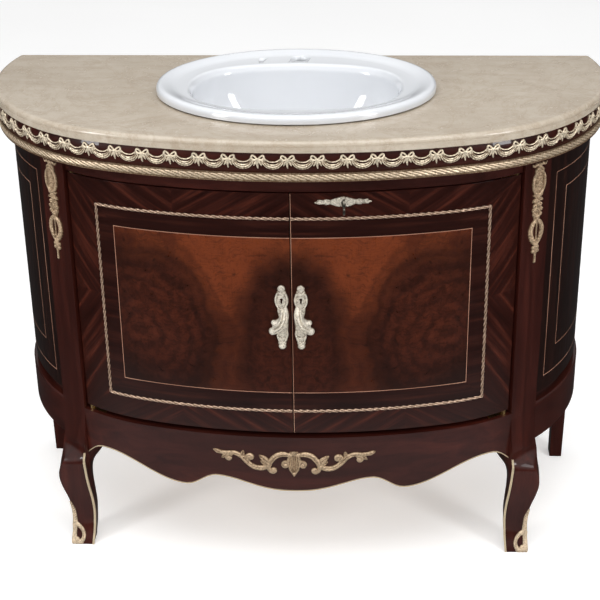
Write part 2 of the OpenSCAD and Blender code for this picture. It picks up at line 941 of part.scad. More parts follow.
module escutcheon() {
    half = escutcheon_l / 2;
    color("silver")
        difference() {
            intersection() {
                wall(
                    BODY_PLAN, slab(-escutcheon_t, 0, key_z - 15, key_z + 15),
                    lock_at - 3.2, lock_at + 3.2
                );
                at_lock()
                    translate([0, over, key_z])
                        rotate([90, 0, 0])
                            linear_extrude(12)
                                union() {
                                    circle(r = 9.5, $fn = 60);
                                    for (side = [-1, 1], p = [[0.32, 6], [0.53, 4.6], [0.7, 5], [0.9, 4.6]])
                                        translate([side * (p[0] * half), 0])
                                            circle(r = p[1], $fn = 48);
                                    translate([-half * 0.9, -2])
                                        square([half * 1.8, 4]);
                                }
            }
            at_lock()
                keyhole(key_r + 0.6, 3.2, -12, over);
        }
}

// ---------------------------------------------------------------- pulls
// Cast backplate with one leaf to the side, seen from the front
module pull_outline() {
    h = pull_h / 2;
    w = pull_w / 2;
    lobes = [
        [0, h - 6, 6], [-0.3 * w, h - 15, 7], [0.3 * w, h - 18, 7], [0, h - 28, 7.5],
        [-0.35 * w, 24, 6.8], [0.35 * w, 18, 6.8], [-0.2 * w, 6, 7], [0.2 * w, -6, 7],
        [-0.35 * w, -16, 6.8], [8, -20, 5.5], [14, -23, 3.8], [18, -24.5, 2.6],
        [0, -32, 7.5], [-0.3 * w, 15 - h, 7], [0.3 * w, 18 - h, 7], [0, 6 - h, 6]
    ];
    difference() {
        union() {
            for (p = lobes)
                translate([p[0], p[1]])
                    circle(r = p[2], $fn = 40);
            translate([-w * 0.5, 6 - h])
                square([w, pull_h - 12]);
        }
        translate([0, 36])
            circle(r = 2.4, $fn = 30);
        translate([-1.1, 29])
            square([2.2, 7]);
    }
}

module pull() {
    span = 38;
    rise = pull_out - 3.2 - 2;
    bend = (span * span + rise * rise) / (2 * rise);
    turn = asin(span / bend);
    color("goldenrod")
        translate([0, 0, pull_z])
            place(BODY_PLAN, 0, angle_at(BODY_PLAN, pull_s)) {
                rotate([90, 0, 0])
                    linear_extrude(pull_t)
                        pull_outline();
                translate([0, bend - pull_out + 3.2, -12])
                    rotate([0, 90, 0])
                        rotate([0, 0, -90 - turn])
                            rotate_extrude(angle = 2 * turn, $fn = 72)
                                translate([bend, 0])
                                    circle(r = 3.2, $fn = 32);
            }
}

module pull_right() {
    pull();
}

module pull_left() {
    mirror([1, 0, 0])
        pull();
}

// ---------------------------------------------------------------- front legs
post_in = post_t - proud;
leg_scale = rail_low / 216;
leg_size = post_t / 45;
leg_top = base_h - 12;
tenon_l = 30;
leg_ref = wall_at(BODY_PLAN, -proud, (post_from + post_to) / 2);

// One level of the leg: height, front inner corner, front ridge, outer corner, back
// corner and inner corner, all taken from the middle of the post's face
function low_level(z, pts) = concat([z * leg_scale], [for (p = pts) each (leg_ref + leg_size * p)]);

// A level next to apron and base rail, where the leg's sides stay in their planes
function high_level(z, grow, ridge, grow_out) = concat(
    [z],
    wall_at(BODY_PLAN, -proud - grow, post_from),
    wall_at(BODY_PLAN, -proud - grow, ridge),
    wall_at(BODY_PLAN, -proud - grow_out, post_to),
    wall_at(BODY_PLAN, post_in, post_to),
    wall_at(BODY_PLAN, post_in, post_from)
);

LEG_LEVELS = [
    low_level(0, [[-25, -48], [16, -46.5], [16.3, -27], [14.5, -10], [-25, -10]]),
    low_level(10, [[-26, -44], [15.5, -42.5], [16, -23], [14, -5], [-25.5, -5]]),
    low_level(26, [[-27.5, -36], [14.5, -35], [15, -17], [13, 2], [-27, 2]]),
    low_level(50, [[-28.5, -29], [13.5, -28.5], [14, -12], [12, 5], [-28, 5]]),
    low_level(70, [[-29, -28], [14.5, -27.5], [15, -12], [13, 5], [-29, 4]]),
    low_level(97, [[-27.5, -30.5], [20.5, -29.5], [21.5, -15], [19, 3], [-28, 2]]),
    low_level(127, [[-24, -35], [29.5, -33.5], [30.5, -15], [27, 4], [-25.5, 3]]),
    low_level(150, [[-21.5, -37], [33.5, -35], [35, -13], [28, 10], [-25.5, 5]]),
    low_level(168, [[-20, -37], [31, -34], [34, -7], [19, 20], [-30, 7]]),
    low_level(185, [[-18.5, -35], [22, -31.5], [31, 2], [5, 38], [-43, 12]]),
    high_level(rail_low - 16, 10, 42.3, 9),
    high_level(rail_low, 9, 40.6, 5),
    high_level(rail_low + 12, 7.6, 39.6, 3),
    high_level(rail_low + 34, 4, 38.4, 1.2),
    high_level(leg_top, 0, 37.6, 0)
];

// Smooth run through a list of levels
function run_through(list, u) =
    let (n = len(list) - 1, k = min(floor(u), n - 1), t = u - k)
    let (a = list[max(k - 1, 0)], b = list[k], c = list[k + 1], d = list[min(k + 2, n)])
    0.5 * (2 * b + (c - a) * t + (2 * a - 5 * b + 4 * c - d) * t * t
        + (3 * b - a - 3 * c + d) * t * t * t);

// Corner c of the leg at level u
function leg_corner(u, c) = let (v = run_through(LEG_LEVELS, u)) [v[2 * c + 1], v[2 * c + 2], v[0]];
function leg_ring(u) = [for (c = [0 : 4]) leg_corner(u, c)];

// A ring well inside the post, where the leg runs up into it
function tenon_ring(z) = [for (p = [
    wall_at(BODY_PLAN, 4 - proud, post_from + 0.6),
    wall_at(BODY_PLAN, 4 - proud, post_from + 2),
    wall_at(BODY_PLAN, 4 - proud, post_to - 0.6),
    wall_at(BODY_PLAN, post_in - 5, post_to - 0.6),
    wall_at(BODY_PLAN, post_in - 5, post_from + 0.6)
]) [p[0], p[1], z]];

module front_leg_right() {
    top = len(LEG_LEVELS) - 1;
    color("saddlebrown")
        union() {
            wall(BODY_PLAN, slab(-proud, post_in, leg_top, frieze_low), post_from, post_to);
            loft(concat(
                [for (u = [0 : 1 / 3 : top + 0.01]) leg_ring(min(u, top))],
                [tenon_ring(leg_top), tenon_ring(leg_top + tenon_l)]
            ));
        }
}

module front_leg_left() {
    mirror([1, 0, 0])
        front_leg_right();
}

// Gilt strip along the inner front edge of a leg
module leg_strip_right() {
    top = 10;
    color("goldenrod")
        loft([for (u = [0.1 : 0.3 : top])
            let (p = leg_corner(u, 0))
            [for (q = [[-1.3, -1.4], [2.6, -1.4], [2.6, 0.9], [0.8, 0.9], [0.8, 2.8], [-1.3, 2.8]])
                [p[0] + q[0], p[1] + q[1], p[2]]]
        ]);
}

module leg_strip_left() {
    mirror([1, 0, 0])
        leg_strip_right();
}

// Leaf-shaped shoe round the outer front corner of a foot
module sabot_right() {
    t = sabot_t;
    color("goldenrod")
        loft([for (u = [0.06, 0.5, 1, 1.5, 2, 2.5, 3, 3.5, 4, 4.3, 4.6])
            let (p = leg_corner(u, 1), f = 1 - u / 4.8)
            let (a = 3 + 27 * sqrt(f) * f + 6 * sin(180 * min(1, f * 1.1)), b = 2 + 14 * f)
            [for (q = [[-a, -t], [t, -t], [t, b], [-0.9, b], [-0.9, 0.9], [-a, 0.9]])
                [p[0] + q[0], p[1] + q[1], p[2] * sabot_h / 88]]
        ]);
}

module sabot_left() {
    mirror([1, 0, 0])
        sabot_right();
}

// ---------------------------------------------------------------- sides and back
post_back_y = back_y - back_gap;
post_front_y = post_back_y - back_post_d;
body_end = ceil(end_angle(BODY_PLAN, 0)) + 2;

module side_panel_right() {
    color("sienna")
        in_front_of(post_front_y)
            wall(
                BODY_PLAN, slab(0, panel_t, base_h + cove_h, frieze_low),
                post_to, body_end
            );
}

module side_panel_left() {
    mirror([1, 0, 0])
        side_panel_right();
}

module base_rail_right() {
    top = base_h + cove_h;
    color("saddlebrown")
        in_front_of(post_front_y)
            wall(
                BODY_PLAN,
                [[panel_t, rail_low], [panel_t, top], [cove_t, top], [cove_t, base_h],
                    [2 - proud, base_h], [-proud, base_h - 3], [-proud, rail_low]],
                post_to, body_end
            );
}

module base_rail_left() {
    mirror([1, 0, 0])
        base_rail_right();
}

// How far out the body's wall stands at the middle of a back post
back_edge = BODY_PLAN[2]
    + sqrt(pow(BODY_PLAN[1], 2) - pow(post_back_y - back_post_d / 2 - BODY_PLAN[3], 2));

module back_leg_right() {
    edge = BODY_PLAN[2] + BODY_PLAN[1];
    inner = edge - back_post_w;
    color("saddlebrown")
        union() {
            intersection() {
                wall(
                    BODY_PLAN, slab(0, back_post_w, base_h, frieze_low),
                    80, body_end
                );
                translate([inner - 60, post_front_y, base_h - 1])
                    cube([back_post_w + 120, back_post_d, frieze_low]);
            }
            loft([
                for (s = [[0, 25, 4, 4, 32], [0.35, 26.5, 2, 2, 30], [0.72, 30, 0.8, 0.5, 33],
                    [1, 34, 0, 0, back_post_d], [1, 22, 8, 5, back_post_d - 10],
                    [1.1, 22, 8, 5, back_post_d - 10]])
                    let (x = back_edge + proud - 2.2 - s[2], y = post_back_y - s[3], z = base_h * s[0])
                    [[x - s[1], y - s[4], z], [x, y - s[4], z], [x, y, z], [x - s[1], y, z]]
            ]);
        }
}

module back_leg_left() {
    mirror([1, 0, 0])
        back_leg_right();
}

back_front_y = back_y - 5 - back_t;
// Half the width between the back posts, where the panel's rear face meets them
back_half = BODY_PLAN[2] - 0.26
    + sqrt(pow(BODY_PLAN[1] - back_post_w, 2) - pow(back_front_y + back_t - BODY_PLAN[3], 2));

// The frieze and all that lies outside it
module frieze_and_beyond(z0, z1)
    wall(TOP_PLAN, slab(-160, frieze_in, z0, z1), -top_end, top_end);

module back_panel() {
    color("tan")
        difference() {
            translate([-back_half, back_front_y, base_h - board_t])
                cube([2 * back_half, back_t, marble_low - 10 - base_h + board_t]);
            translate([-pipe_w / 2, back_front_y - over, pipe_z - pipe_h / 2])
                cube([pipe_w, back_t + 2 * over, pipe_h]);
            frieze_and_beyond(frieze_low, marble_low);
        }
}

rail_d = 16;

module back_top_rail() {
    color("tan")
        difference() {
            translate([-back_half - 25, back_front_y - rail_d, frieze_low])
                cube([2 * back_half + 50, rail_d, frieze_h]);
            frieze_and_beyond(frieze_low - over, marble_low + over);
        }
}

bearer_x = 290;
bearer_w = 40;
bearer_h = 25;
bearer_in = 85;

module marble_bearers() {
    front = back_y - top_d + bearer_in;
    color("tan")
        difference() {
            for (side = [-1, 1])
                translate([side * bearer_x - bearer_w / 2, front, marble_low - bearer_h])
                    cube([bearer_w, back_front_y - rail_d - front, bearer_h]);
            frieze_and_beyond(marble_low - bearer_h - 5, marble_low + over);
        }
}

module bottom_board() {
    clear = 0.3;
    apron_in = frame_t - proud;
    gap = 0.3;
    notch_y = post_front_y - gap;
    run = [for (a = [post_to + gap : 1 : 100])
        let (p = wall_at(BODY_PLAN, panel_t + clear, a)) if (p[1] < notch_y) p];
    right = concat(
        [for (a = [0 : 1 : 36]) wall_at(BODY_PLAN, apron_in + clear, a)],
        [wall_at(BODY_PLAN, post_in + clear, post_from - gap)],
        [wall_at(BODY_PLAN, post_in + clear, post_to + gap)],
        run,
        [[run[len(run) - 1][0], notch_y], [back_half - 2, notch_y], [back_half - 2, back_front_y]]
    );
    left = [for (i = [len(right) - 1 : -1 : 1]) [-right[i][0], right[i][1]]];
    color("tan")
        translate([0, 0, base_h - board_t])
            linear_extrude(board_t)
                polygon(concat(left, right));
}

// Angle at which the body's wall reaches the back posts
back_post_at = 90 + asin((post_front_y - BODY_PLAN[3]) / BODY_PLAN[1]);

// Blocks glued under the bottom board, against apron and base rails
module glue_blocks() {
    color("tan")
        for (side = [0, 1])
            mirror([side, 0, 0]) {
                for (a = [8, 26])
                    wall(
                        BODY_PLAN,
                        slab(frame_t - proud, frame_t - proud + 16, base_h - board_t - 18, base_h - board_t),
                        a, a + 3
                    );
                for (a = [post_to + 11.8, back_post_at - 8.6])
                    wall(
                        BODY_PLAN,
                        slab(panel_t, panel_t + 16, base_h - board_t - 18, base_h - board_t),
                        a, a + 5
                    );
            }
}

module back_screws() {
    color("silver")
        for (z = [frieze_low + 23, base_h - board_t / 2], k = [-2 : 2])
            translate([k * (back_half - 99.5) / 2, back_front_y + back_t, z]) {
                translate([0, 2, 0])
                    rotate([90, 0, 0])
                        cylinder(r = 4, h = 2, $fn = 36);
                translate([0, 2, 0])
                    rotate([90, 0, 0])
                        cylinder(r = 1.8, h = 24, $fn = 24);
            }
}

// ---------------------------------------------------------------- apron
// Height of the apron's shaped lower edge at a distance x from the middle
function edge_at(x) =
    let (b = abs(x), last = 62)
    b < apron_crest_x
        ? apron_low + (apron_crest - apron_low) * ease(pow(b / apron_crest_x, 1.25))
    : b < apron_lobe_x
        ? apron_crest - (apron_crest - apron_low)
            * ease((b - apron_crest_x) / (apron_lobe_x - apron_crest_x))
    : b < apron_end_x
        ? apron_low + (apron_end - apron_low)
            * ease((b - apron_lobe_x) / (apron_end_x - apron_lobe_x))
    : apron_end - 38 * ease(pow(min(1, (b - apron_end_x) / last), 1.5));

apron_half = 420;
edge_line = [for (x = [-apron_half : 8 : apron_half]) [x, edge_at(x)]];

// Stands a flat outline upright and carries it through the whole depth
module through()
    translate([0, back_y, 0])
        rotate([90, 0, 0])
            linear_extrude(top_d + 10)
                children();

module apron() {
    color("saddlebrown")
        difference() {
            intersection() {
                wall(
                    BODY_PLAN, slab(-proud, frame_t - proud, apron_low - over, base_h),
                    -post_from, post_from
                );
                through()
                    polygon(concat(
                        edge_line,
                        [[apron_half, base_h + over], [-apron_half, base_h + over]]
                    ));
            }
            leaf(base_h - leaf_t, base_h + over);
            mirror([1, 0, 0])
                leaf(base_h - leaf_t, base_h + over);
        }
}

module apron_strip() {
    below = [for (i = [len(edge_line) - 1 : -1 : 0]) edge_line[i] - [0, strip_t]];
    color("goldenrod")
        intersection() {
            wall(
                BODY_PLAN, slab(-proud - 1, strip_w - 1 - proud, apron_low - 10, base_h),
                -post_from + 0.3, post_from - 0.3
            );
            through()
                polygon(concat(edge_line, below));
        }
}

// One scroll of the apron mount: a bent stem lying on the apron
module scroll(s, z, r, from, to)
    translate([0, 0, acanthus_z + z])
        place(BODY_PLAN, -proud - 0.5 * acanthus_r, angle_at(BODY_PLAN, s))
            rotate([90, 0, 0])
                rotate([0, 0, from])
                    rotate_extrude(angle = to - from, $fn = 72)
                        translate([r, 0])
                            circle(r = acanthus_r, $fn = 24);

module bead(s, z, r)
    translate([0, 0, acanthus_z + z])
        place(BODY_PLAN, -proud - 0.5 * acanthus_r, angle_at(BODY_PLAN, s))
            sphere(r = r, $fn = 36);

module apron_mount() {
    k = acanthus_s / 149;
    color("goldenrod") {
        for (side = [0, 1])
            mirror([side, 0, 0]) {
                scroll(k * 22, 12, 12, 180, 330);
                bead(k * 32.4, 6, acanthus_r * 1.4);
                scroll(k * 54.9, -7, 26, 30, 150);
                bead(k * 55.5, 14.5, acanthus_r * 1.7);
                scroll(k * 56, 0, 10, -60, 210);
                bead(k * 77.4, 6, acanthus_r * 1.4);
                scroll(k * 93.1, 15, 18, 210, 330);
                bead(k * 108.7, 6, acanthus_r * 1.4);
                scroll(k * 122.4, -2, 16, -120, 150);
                bead(k * 123, 10.5, acanthus_r * 1.4);
                scroll(k * 124, 0, 7, -200, 90);
                translate([0, 0, acanthus_z])
                    applied(BODY_PLAN, -proud, angle_at(BODY_PLAN, k * 142), 4)
                        union() {
                            circle(r = 5, $fn = 36);
                            translate([4, -3])
                                circle(r = 3, $fn = 36);
                        }
            }
        translate([0, 0, acanthus_z])
            applied(BODY_PLAN, -proud, 0, 5)
                union()
                    for (p = [[0, 16, 8], [-7, 8, 6], [7, 8, 6], [0, 6, 10], [-5, -3, 6],
                        [5, -3, 6], [0, -8, 8], [0, -16, 6], [0, -22, 4], [0, -26, 2]])
                        translate([p[0], p[1]])
                            circle(r = p[2], $fn = 36);
    }
}

// ---------------------------------------------------------------- corner mounts
corner_k = corner_h / 192;

// Flat shapes of one corner mount, measured up from its lower tip
module corner_base() {
    top = [[-9, 176], [9, 176], [13, 184], [17, 192], [-17, 192], [-13, 184]];
    difference() {
        union() {
            polygon([for (p = top) [p[0], corner_k * p[1]]]);
            for (side = [-1, 1])
                translate([side * 11, corner_k * 182])
                    circle(r = 5, $fn = 36);
            polygon(oval(15, corner_k * 26, corner_k * 152, 48));
            for (p = [[-7, 129, 5], [7, 129, 5], [0, 128, 5]])
                translate([p[0], corner_k * p[1]])
                    circle(r = p[2], $fn = 36);
            polygon(oval(13.5, corner_k * 19, corner_k * 110, 48));
            polygon(oval(15, corner_k * 25, corner_k * 66, 48));
            for (p = [[-6, 90, 5], [6, 90, 5], [0, 90, 5], [0, 39, 6.5], [-4, 36, 4.5],
                [4, 36, 4.5], [0, 29, 5.6], [0, 20, 5], [0, 12, 4.2], [0, 5, 5]])
                translate([p[0], corner_k * p[1]])
                    circle(r = p[2], $fn = 36);
        }
        for (z = [102.5, 117.5])
            translate([0, corner_k * z])
                circle(r = 4.5, $fn = 36);
        for (side = [-1, 1])
            polygon([for (q = oval(3.6, corner_k * 16, corner_k * 66, 36)) [q[0] + side * 6.2, q[1]]]);
    }
}

module corner_mount_right() {
    color("goldenrod")
        translate([0, 0, corner_low]) {
            intersection() {
                translate([0, 0, -corner_low])
                    wall(
                        BODY_PLAN,
                        slab(-proud - corner_t * 0.6, -proud, corner_low - over, frieze_low),
                        post_from, post_to
                    );
                place(BODY_PLAN, -proud + 4, corner_at)
                    rotate([90, 0, 0])
                        linear_extrude(4 * corner_t)
                            corner_base();
            }
            applied(BODY_PLAN, -proud - corner_t * 0.3, corner_at, corner_t * 0.7)
                difference() {
                    polygon(oval(12, corner_k * 22, corner_k * 152, 48));
                    polygon(oval(8.5, corner_k * 18, corner_k * 152, 48));
                }
            applied(BODY_PLAN, -proud - corner_t * 0.3, corner_at, corner_t * 0.7)
                polygon([for (p = [[-12, 186], [12, 186], [15, 192], [-15, 192]]) [p[0], corner_k * p[1]]]);
        }
}

module corner_mount_left() {
    mirror([1, 0, 0])
        corner_mount_right();
}

// ---------------------------------------------------------------- drawing
marble_top();
basin();
basin_seal();
waste_body();
waste_gaskets();
waste_nut();
frieze_front();
frieze_left();
frieze_right();
garland();
band_front();
band_left();
band_right();
top_rail();
upper_stop();
lower_stop();
front_leg_left();
front_leg_right();
back_leg_left();
back_leg_right();
side_panel_left();
side_panel_right();
base_rail_left();
base_rail_right();
apron();
apron_strip();
leg_strip_left();
leg_strip_right();
apron_mount();
corner_mount_left();
corner_mount_right();
sabot_left();
sabot_right();
bottom_board();
back_panel();
back_top_rail();
marble_bearers();
glue_blocks();
back_screws();
hinge_frames_left();
hinge_frames_right();
hinge_collars();
strike_plates();
door_left();
rope_left();
pull_left();
hinge_leaves_left();
ball_catch_left();
door_right();
rope_right();
pull_right();
hinge_leaves_right();
ball_catch_right();
escutcheon();
lock_case();
lock_bolt();
key();
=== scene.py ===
"""Half-moon washstand with a marble top, a drop-in basin, two bowed doors and gilt mounts.

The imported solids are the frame. Lengths are in metres, except where a casting is drawn in millimetres.
"""

import math

import bpy
import numpy as np
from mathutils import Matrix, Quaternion, Vector


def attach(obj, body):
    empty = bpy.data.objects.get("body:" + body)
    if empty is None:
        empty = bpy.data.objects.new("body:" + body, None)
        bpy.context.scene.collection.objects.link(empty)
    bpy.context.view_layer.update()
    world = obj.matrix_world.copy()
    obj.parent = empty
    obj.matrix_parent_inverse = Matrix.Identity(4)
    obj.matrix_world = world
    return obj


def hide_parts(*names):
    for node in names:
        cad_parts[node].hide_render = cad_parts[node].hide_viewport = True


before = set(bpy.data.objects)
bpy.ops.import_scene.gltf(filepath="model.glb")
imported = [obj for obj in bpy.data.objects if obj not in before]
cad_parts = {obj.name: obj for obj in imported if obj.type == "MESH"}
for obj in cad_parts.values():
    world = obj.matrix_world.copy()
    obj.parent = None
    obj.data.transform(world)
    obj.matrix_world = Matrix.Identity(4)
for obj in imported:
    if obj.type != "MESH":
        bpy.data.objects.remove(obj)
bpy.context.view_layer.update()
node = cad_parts


# ---------------------------------------------------------------- camera, floor and light
# The camera stands two and a half metres in front of the washstand, a little to the right of its
# middle and 1.7 m up, and looks down on it. The floor is a pale, matt studio floor.
camera_at = Vector((0.14974, -2.50214, 1.71751))
camera_yaw = -0.0585207637
camera_pitch = 0.461316794
camera_roll = -0.0159826727

ahead = Vector((
    math.sin(camera_yaw) * math.cos(camera_pitch),
    math.cos(camera_yaw) * math.cos(camera_pitch),
    -math.sin(camera_pitch),
))
camera = bpy.data.objects.new("camera", bpy.data.cameras.new("camera"))
camera.data.sensor_width = 36
camera.data.lens = 87.92
camera.location = camera_at
camera.rotation_mode = "QUATERNION"
camera.rotation_quaternion = ahead.to_track_quat("-Z", "Y") @ Quaternion((0, 0, 1), camera_roll)
bpy.context.scene.collection.objects.link(camera)
bpy.context.scene.camera = camera


class Finish:
    """A material that is being put together: its tree of nodes and its shader.

    add() makes a node. Its plain arguments go to its inputs in order, its named arguments go to the
    inputs of that name, with _ for a space, or else to its settings, and it gives back the outputs.
    """

    def __init__(self, name, **inputs):
        self.material = bpy.data.materials.new(name)
        self.material.use_nodes = True
        self.tree = self.material.node_tree
        self.shader = self.tree.nodes["Principled BSDF"]
        self.set(**inputs)

    def put(self, socket, value):
        """Links an output to the socket, or sets a plain value on it."""
        if isinstance(value, bpy.types.NodeSocket):
            self.tree.links.new(value, socket)
        else:
            socket.default_value = value

    def add(self, kind, *inputs, **named):
        made = self.tree.nodes.new("ShaderNode" + kind)
        sockets = {key: value for key, value in named.items() if key.replace("_", " ") in made.inputs}
        for key, value in named.items():
            if key not in sockets:
                setattr(made, key, value)
        for socket, value in zip(made.inputs, inputs):
            self.put(socket, value)
        for key, value in sockets.items():
            self.put(made.inputs[key.replace("_", " ")], value)
        return made.outputs

    def set(self, **inputs):
        """Puts values on the shader's own sockets."""
        for key, value in inputs.items():
            self.put(self.shader.inputs[key.replace("_", " ")], value)

    def place(self, scale=(1, 1, 1), turn=(0, 0, 0), shift=(0, 0, 0)):
        """Places on the piece in metres, turned by degrees and shifted, and then multiplied by scale."""
        where, radians = self.add("TexCoord")["Object"], [math.radians(angle) for angle in turn]
        turned = self.add("Mapping", where, Rotation=radians, Location=shift)[0]
        return self.add("Mapping", turned, Scale=scale)[0]

    def noise(self, where, scale, detail, roughness=0.55, distortion=0.0):
        """A soft cloud from 0 to 1 at the places given."""
        return self.add(
            "TexNoise", Vector=where, Scale=scale, Detail=detail, Roughness=roughness, Distortion=distortion
        )[0]

    def ramp(self, factor, *stops):
        """Colour that runs through stops of (place, colour), where a single number is a grey."""
        made = self.tree.nodes.new("ShaderNodeValToRGB")
        while len(made.color_ramp.elements) < len(stops):
            made.color_ramp.elements.new(0.5)
        for element, (place, colour) in zip(made.color_ramp.elements, stops):
            element.position = place
            element.color = (*colour, 1) if isinstance(colour, tuple) else (colour, colour, colour, 1)
        self.put(made.inputs[0], factor)
        return made.outputs[0]

    def mix(self, factor, one, two):
        """Colour one covered by colour two as far as the factor says."""
        made = self.tree.nodes.new("ShaderNodeMix")
        made.data_type = "RGBA"
        for socket, value in zip((made.inputs[0], made.inputs[6], made.inputs[7]), (factor, one, two)):
            self.put(socket, (*value, 1) if isinstance(value, tuple) else value)
        return made.outputs[2]

    def span(self, value, low, high, to_low=0.0, to_high=1.0):
        """A number carried from one range to another and held inside it."""
        return self.add("MapRange", value, low, high, to_low, to_high)[0]

    def bumps(self, *layers):
        """Stacks bumps of (height, strength, depth in metres) and puts them on the shader."""
        normal = None
        for height, strength, depth in layers:
            made = self.tree.nodes.new("ShaderNodeBump")
            made.inputs["Strength"].default_value = strength
            made.inputs["Distance"].default_value = depth
            self.put(made.inputs["Height"], height)
            if normal:
                self.put(made.inputs["Normal"], normal)
            normal = made.outputs[0]
        self.set(Normal=normal)

    def cover(self, *pieces):
        """Puts the finish on pieces, in place of what they have."""
        for piece in pieces:
            piece.data.materials.clear()
            piece.data.materials.append(self.material)


def squares(number):
    """The corners of each square of a net of point numbers, so that its face looks to the same side as
    the turn from the rows' way to the columns' way."""
    return np.stack([number[:-1, :-1], number[:-1, 1:], number[1:, 1:], number[1:, :-1]], -1).reshape(-1, 4)


def tube(rings, closed=False, ends=False):
    """Points and faces of a row of rings of points: a quad between each four neighbours, all the way
    round. closed joins the last ring to the first, and ends fills both of them with one face each."""
    rings = np.asarray(rings, float)
    rows, columns = rings.shape[:2]
    number = np.arange(rows * columns).reshape(rows, columns)
    caps = [number[0, ::-1].tolist(), number[-1].tolist()] if ends else []
    number = np.concatenate([number, number[:, :1]], 1)
    if closed:
        number = np.concatenate([number, number[:1]], 0)
    return rings.reshape(-1, 3), squares(number), caps


def stage_piece(name, grey, shine, points, faces, fade=None):
    """A part of the studio, of one grey with faint clouds in it, that can also shine by itself. fade is
    the middle and the half widths of an oval: the grey turns dark towards its edge and stays so outside."""
    finish = Finish(name, Roughness=0.85, Emission_Color=(1, 1, 1, 1), Emission_Strength=shine)
    tone = finish.ramp(finish.noise(finish.place(), 1.5, 3), (0.3, 0.97 * grey), (0.7, grey))
    if fade:
        (x, y), (half_x, half_y) = fade
        where = finish.place((1 / half_x, 1 / half_y, 1), shift=(-x, -y, 0))
        near = finish.add("TexGradient", Vector=where, gradient_type="SPHERICAL")[1]
        tone = finish.mix(finish.span(near, 0.0, 0.45), (0.01, 0.01, 0.01), tone)
    finish.set(Base_Color=tone)
    mesh = bpy.data.meshes.new(name)
    mesh.from_pydata(points, [], faces)
    piece = bpy.data.objects.new(name, mesh)
    bpy.context.scene.collection.objects.link(piece)
    finish.cover(piece)
    return piece


def rectangle(half_x, from_y, to_y, height):
    """The corners of a level rectangle, anticlockwise seen from above."""
    corners = ((-half_x, from_y), (half_x, from_y), (half_x, to_y), (-half_x, to_y))
    return [(x, y, height) for x, y in corners]


# The lacquer doesn't mirror the white floor but a grey card that lies on it, under the washstand and in
# front of it, and fades towards its edge
floor_half, card_high = 12, 0.0005
floor = stage_piece("floor", 0.9, 0.3, rectangle(floor_half, -floor_half, floor_half, 0), [(0, 1, 2, 3)])
floor.visible_glossy = False
card_middle, card_fade = (0, -0.42), (1.15, 0.5)
card_corners = rectangle(1.2, -1.0, 0.1, card_high)
card = stage_piece("grey_card", 0.32, 0, card_corners, [(0, 1, 2, 3)], (card_middle, card_fade))
card.visible_camera = card.visible_diffuse = card.visible_shadow = False

# A pale round backdrop stands just inside the edge of the floor. Only the camera sees it
backdrop_r = 11.9
bearing = np.radians(np.arange(0, 360, 5))
backdrop_rings = [
    np.stack([backdrop_r * np.cos(bearing), backdrop_r * np.sin(bearing), 0 * bearing + z], 1)
    for z in (0, 3, 6, 9, 12)
]
backdrop_points, backdrop_faces = tube(backdrop_rings)[:2]
backdrop = stage_piece("backdrop", 0.05, 0.9, backdrop_points.tolist(), backdrop_faces.tolist())
backdrop.visible_glossy = backdrop.visible_diffuse = backdrop.visible_shadow = False

# What the lacquer mirrors of the studio is dark at its own level and below, and light above
sky = bpy.data.worlds.new("studio")
sky.use_nodes = True
where = sky.node_tree.nodes.new("ShaderNodeTexCoord")
split = sky.node_tree.nodes.new("ShaderNodeSeparateXYZ")
tone = sky.node_tree.nodes.new("ShaderNodeValToRGB")
sky.node_tree.links.new(where.outputs["Generated"], split.inputs[0])
sky.node_tree.links.new(split.outputs["Z"], tone.inputs[0])
sky.node_tree.links.new(tone.outputs[0], sky.node_tree.nodes["Background"].inputs["Color"])
tone.color_ramp.elements[0].position = 0.0
tone.color_ramp.elements[0].color = (0.03, 0.03, 0.03, 1)
tone.color_ramp.elements[1].position = 0.7
tone.color_ramp.elements[1].color = (0.72, 0.72, 0.72, 1)
bpy.context.scene.world = sky
bpy.context.scene.view_settings.view_transform = "Standard"


def soft_light(name, at, aim, size, power):
    """A rectangular studio light of size metres by metres that hangs at one point and faces another."""
    light = bpy.data.objects.new(name, bpy.data.lights.new(name, "AREA"))
    light.data.shape = "RECTANGLE"
    light.data.size, light.data.size_y = size
    light.data.energy = power
    light.location = at
    light.rotation_mode = "QUATERNION"
    light.rotation_quaternion = (Vector(aim) - Vector(at)).to_track_quat("-Z", "Y")
    bpy.context.scene.collection.objects.link(light)


soft_light("light_over", (0.0, -1.0, 3.2), (0, -0.2, 0.4), (3.2, 1.8), 55)
soft_light("light_left", (-2.8, -2.2, 1.9), (0, 0, 0.5), (0.7, 1.8), 45)
soft_light("light_right", (2.8, -2.2, 1.9), (0, 0, 0.5), (0.7, 1.8), 45)

# ---------------------------------------------------------------- marble top
# A 20 mm slab of cream marble, polished, with a rounded and stepped edge. It lies on the frieze.
marble = Finish("cream_marble", Specular_IOR_Level=0.5, Coat_Weight=0.25, Coat_Roughness=0.08)
stone = marble.place()
drift = marble.noise(stone, 3.2, 6, 0.6, 0.8)
mottle = marble.noise(stone, 38, 6, 0.65, 0.4)
speck = marble.add("TexVoronoi", Vector=stone, Scale=230)[0]
vein = marble.noise(stone, 7.5, 8, 0.7, 1.6)
cream = marble.ramp(
    drift, (0.25, (0.4, 0.34, 0.265)), (0.5, (0.46, 0.395, 0.315)), (0.75, (0.52, 0.455, 0.37))
)
cream = marble.mix(marble.span(mottle, 0.35, 0.7, 0, 0.65), cream, (0.36, 0.295, 0.22))
cream = marble.mix(marble.span(speck, 0.0, 0.35, 0.4, 0), cream, (0.28, 0.215, 0.15))
thread = marble.add("Math", vein, 0.5, operation="SUBTRACT")[0]
thread = marble.add("Math", thread, operation="ABSOLUTE")[0]
cream = marble.mix(marble.span(thread, 0.0, 0.03, 0.4, 0), cream, (0.31, 0.235, 0.16))
bedding = marble.add("Mapping", stone, Scale=(7, 34, 20), Rotation=(0, 0, -0.18))[0]
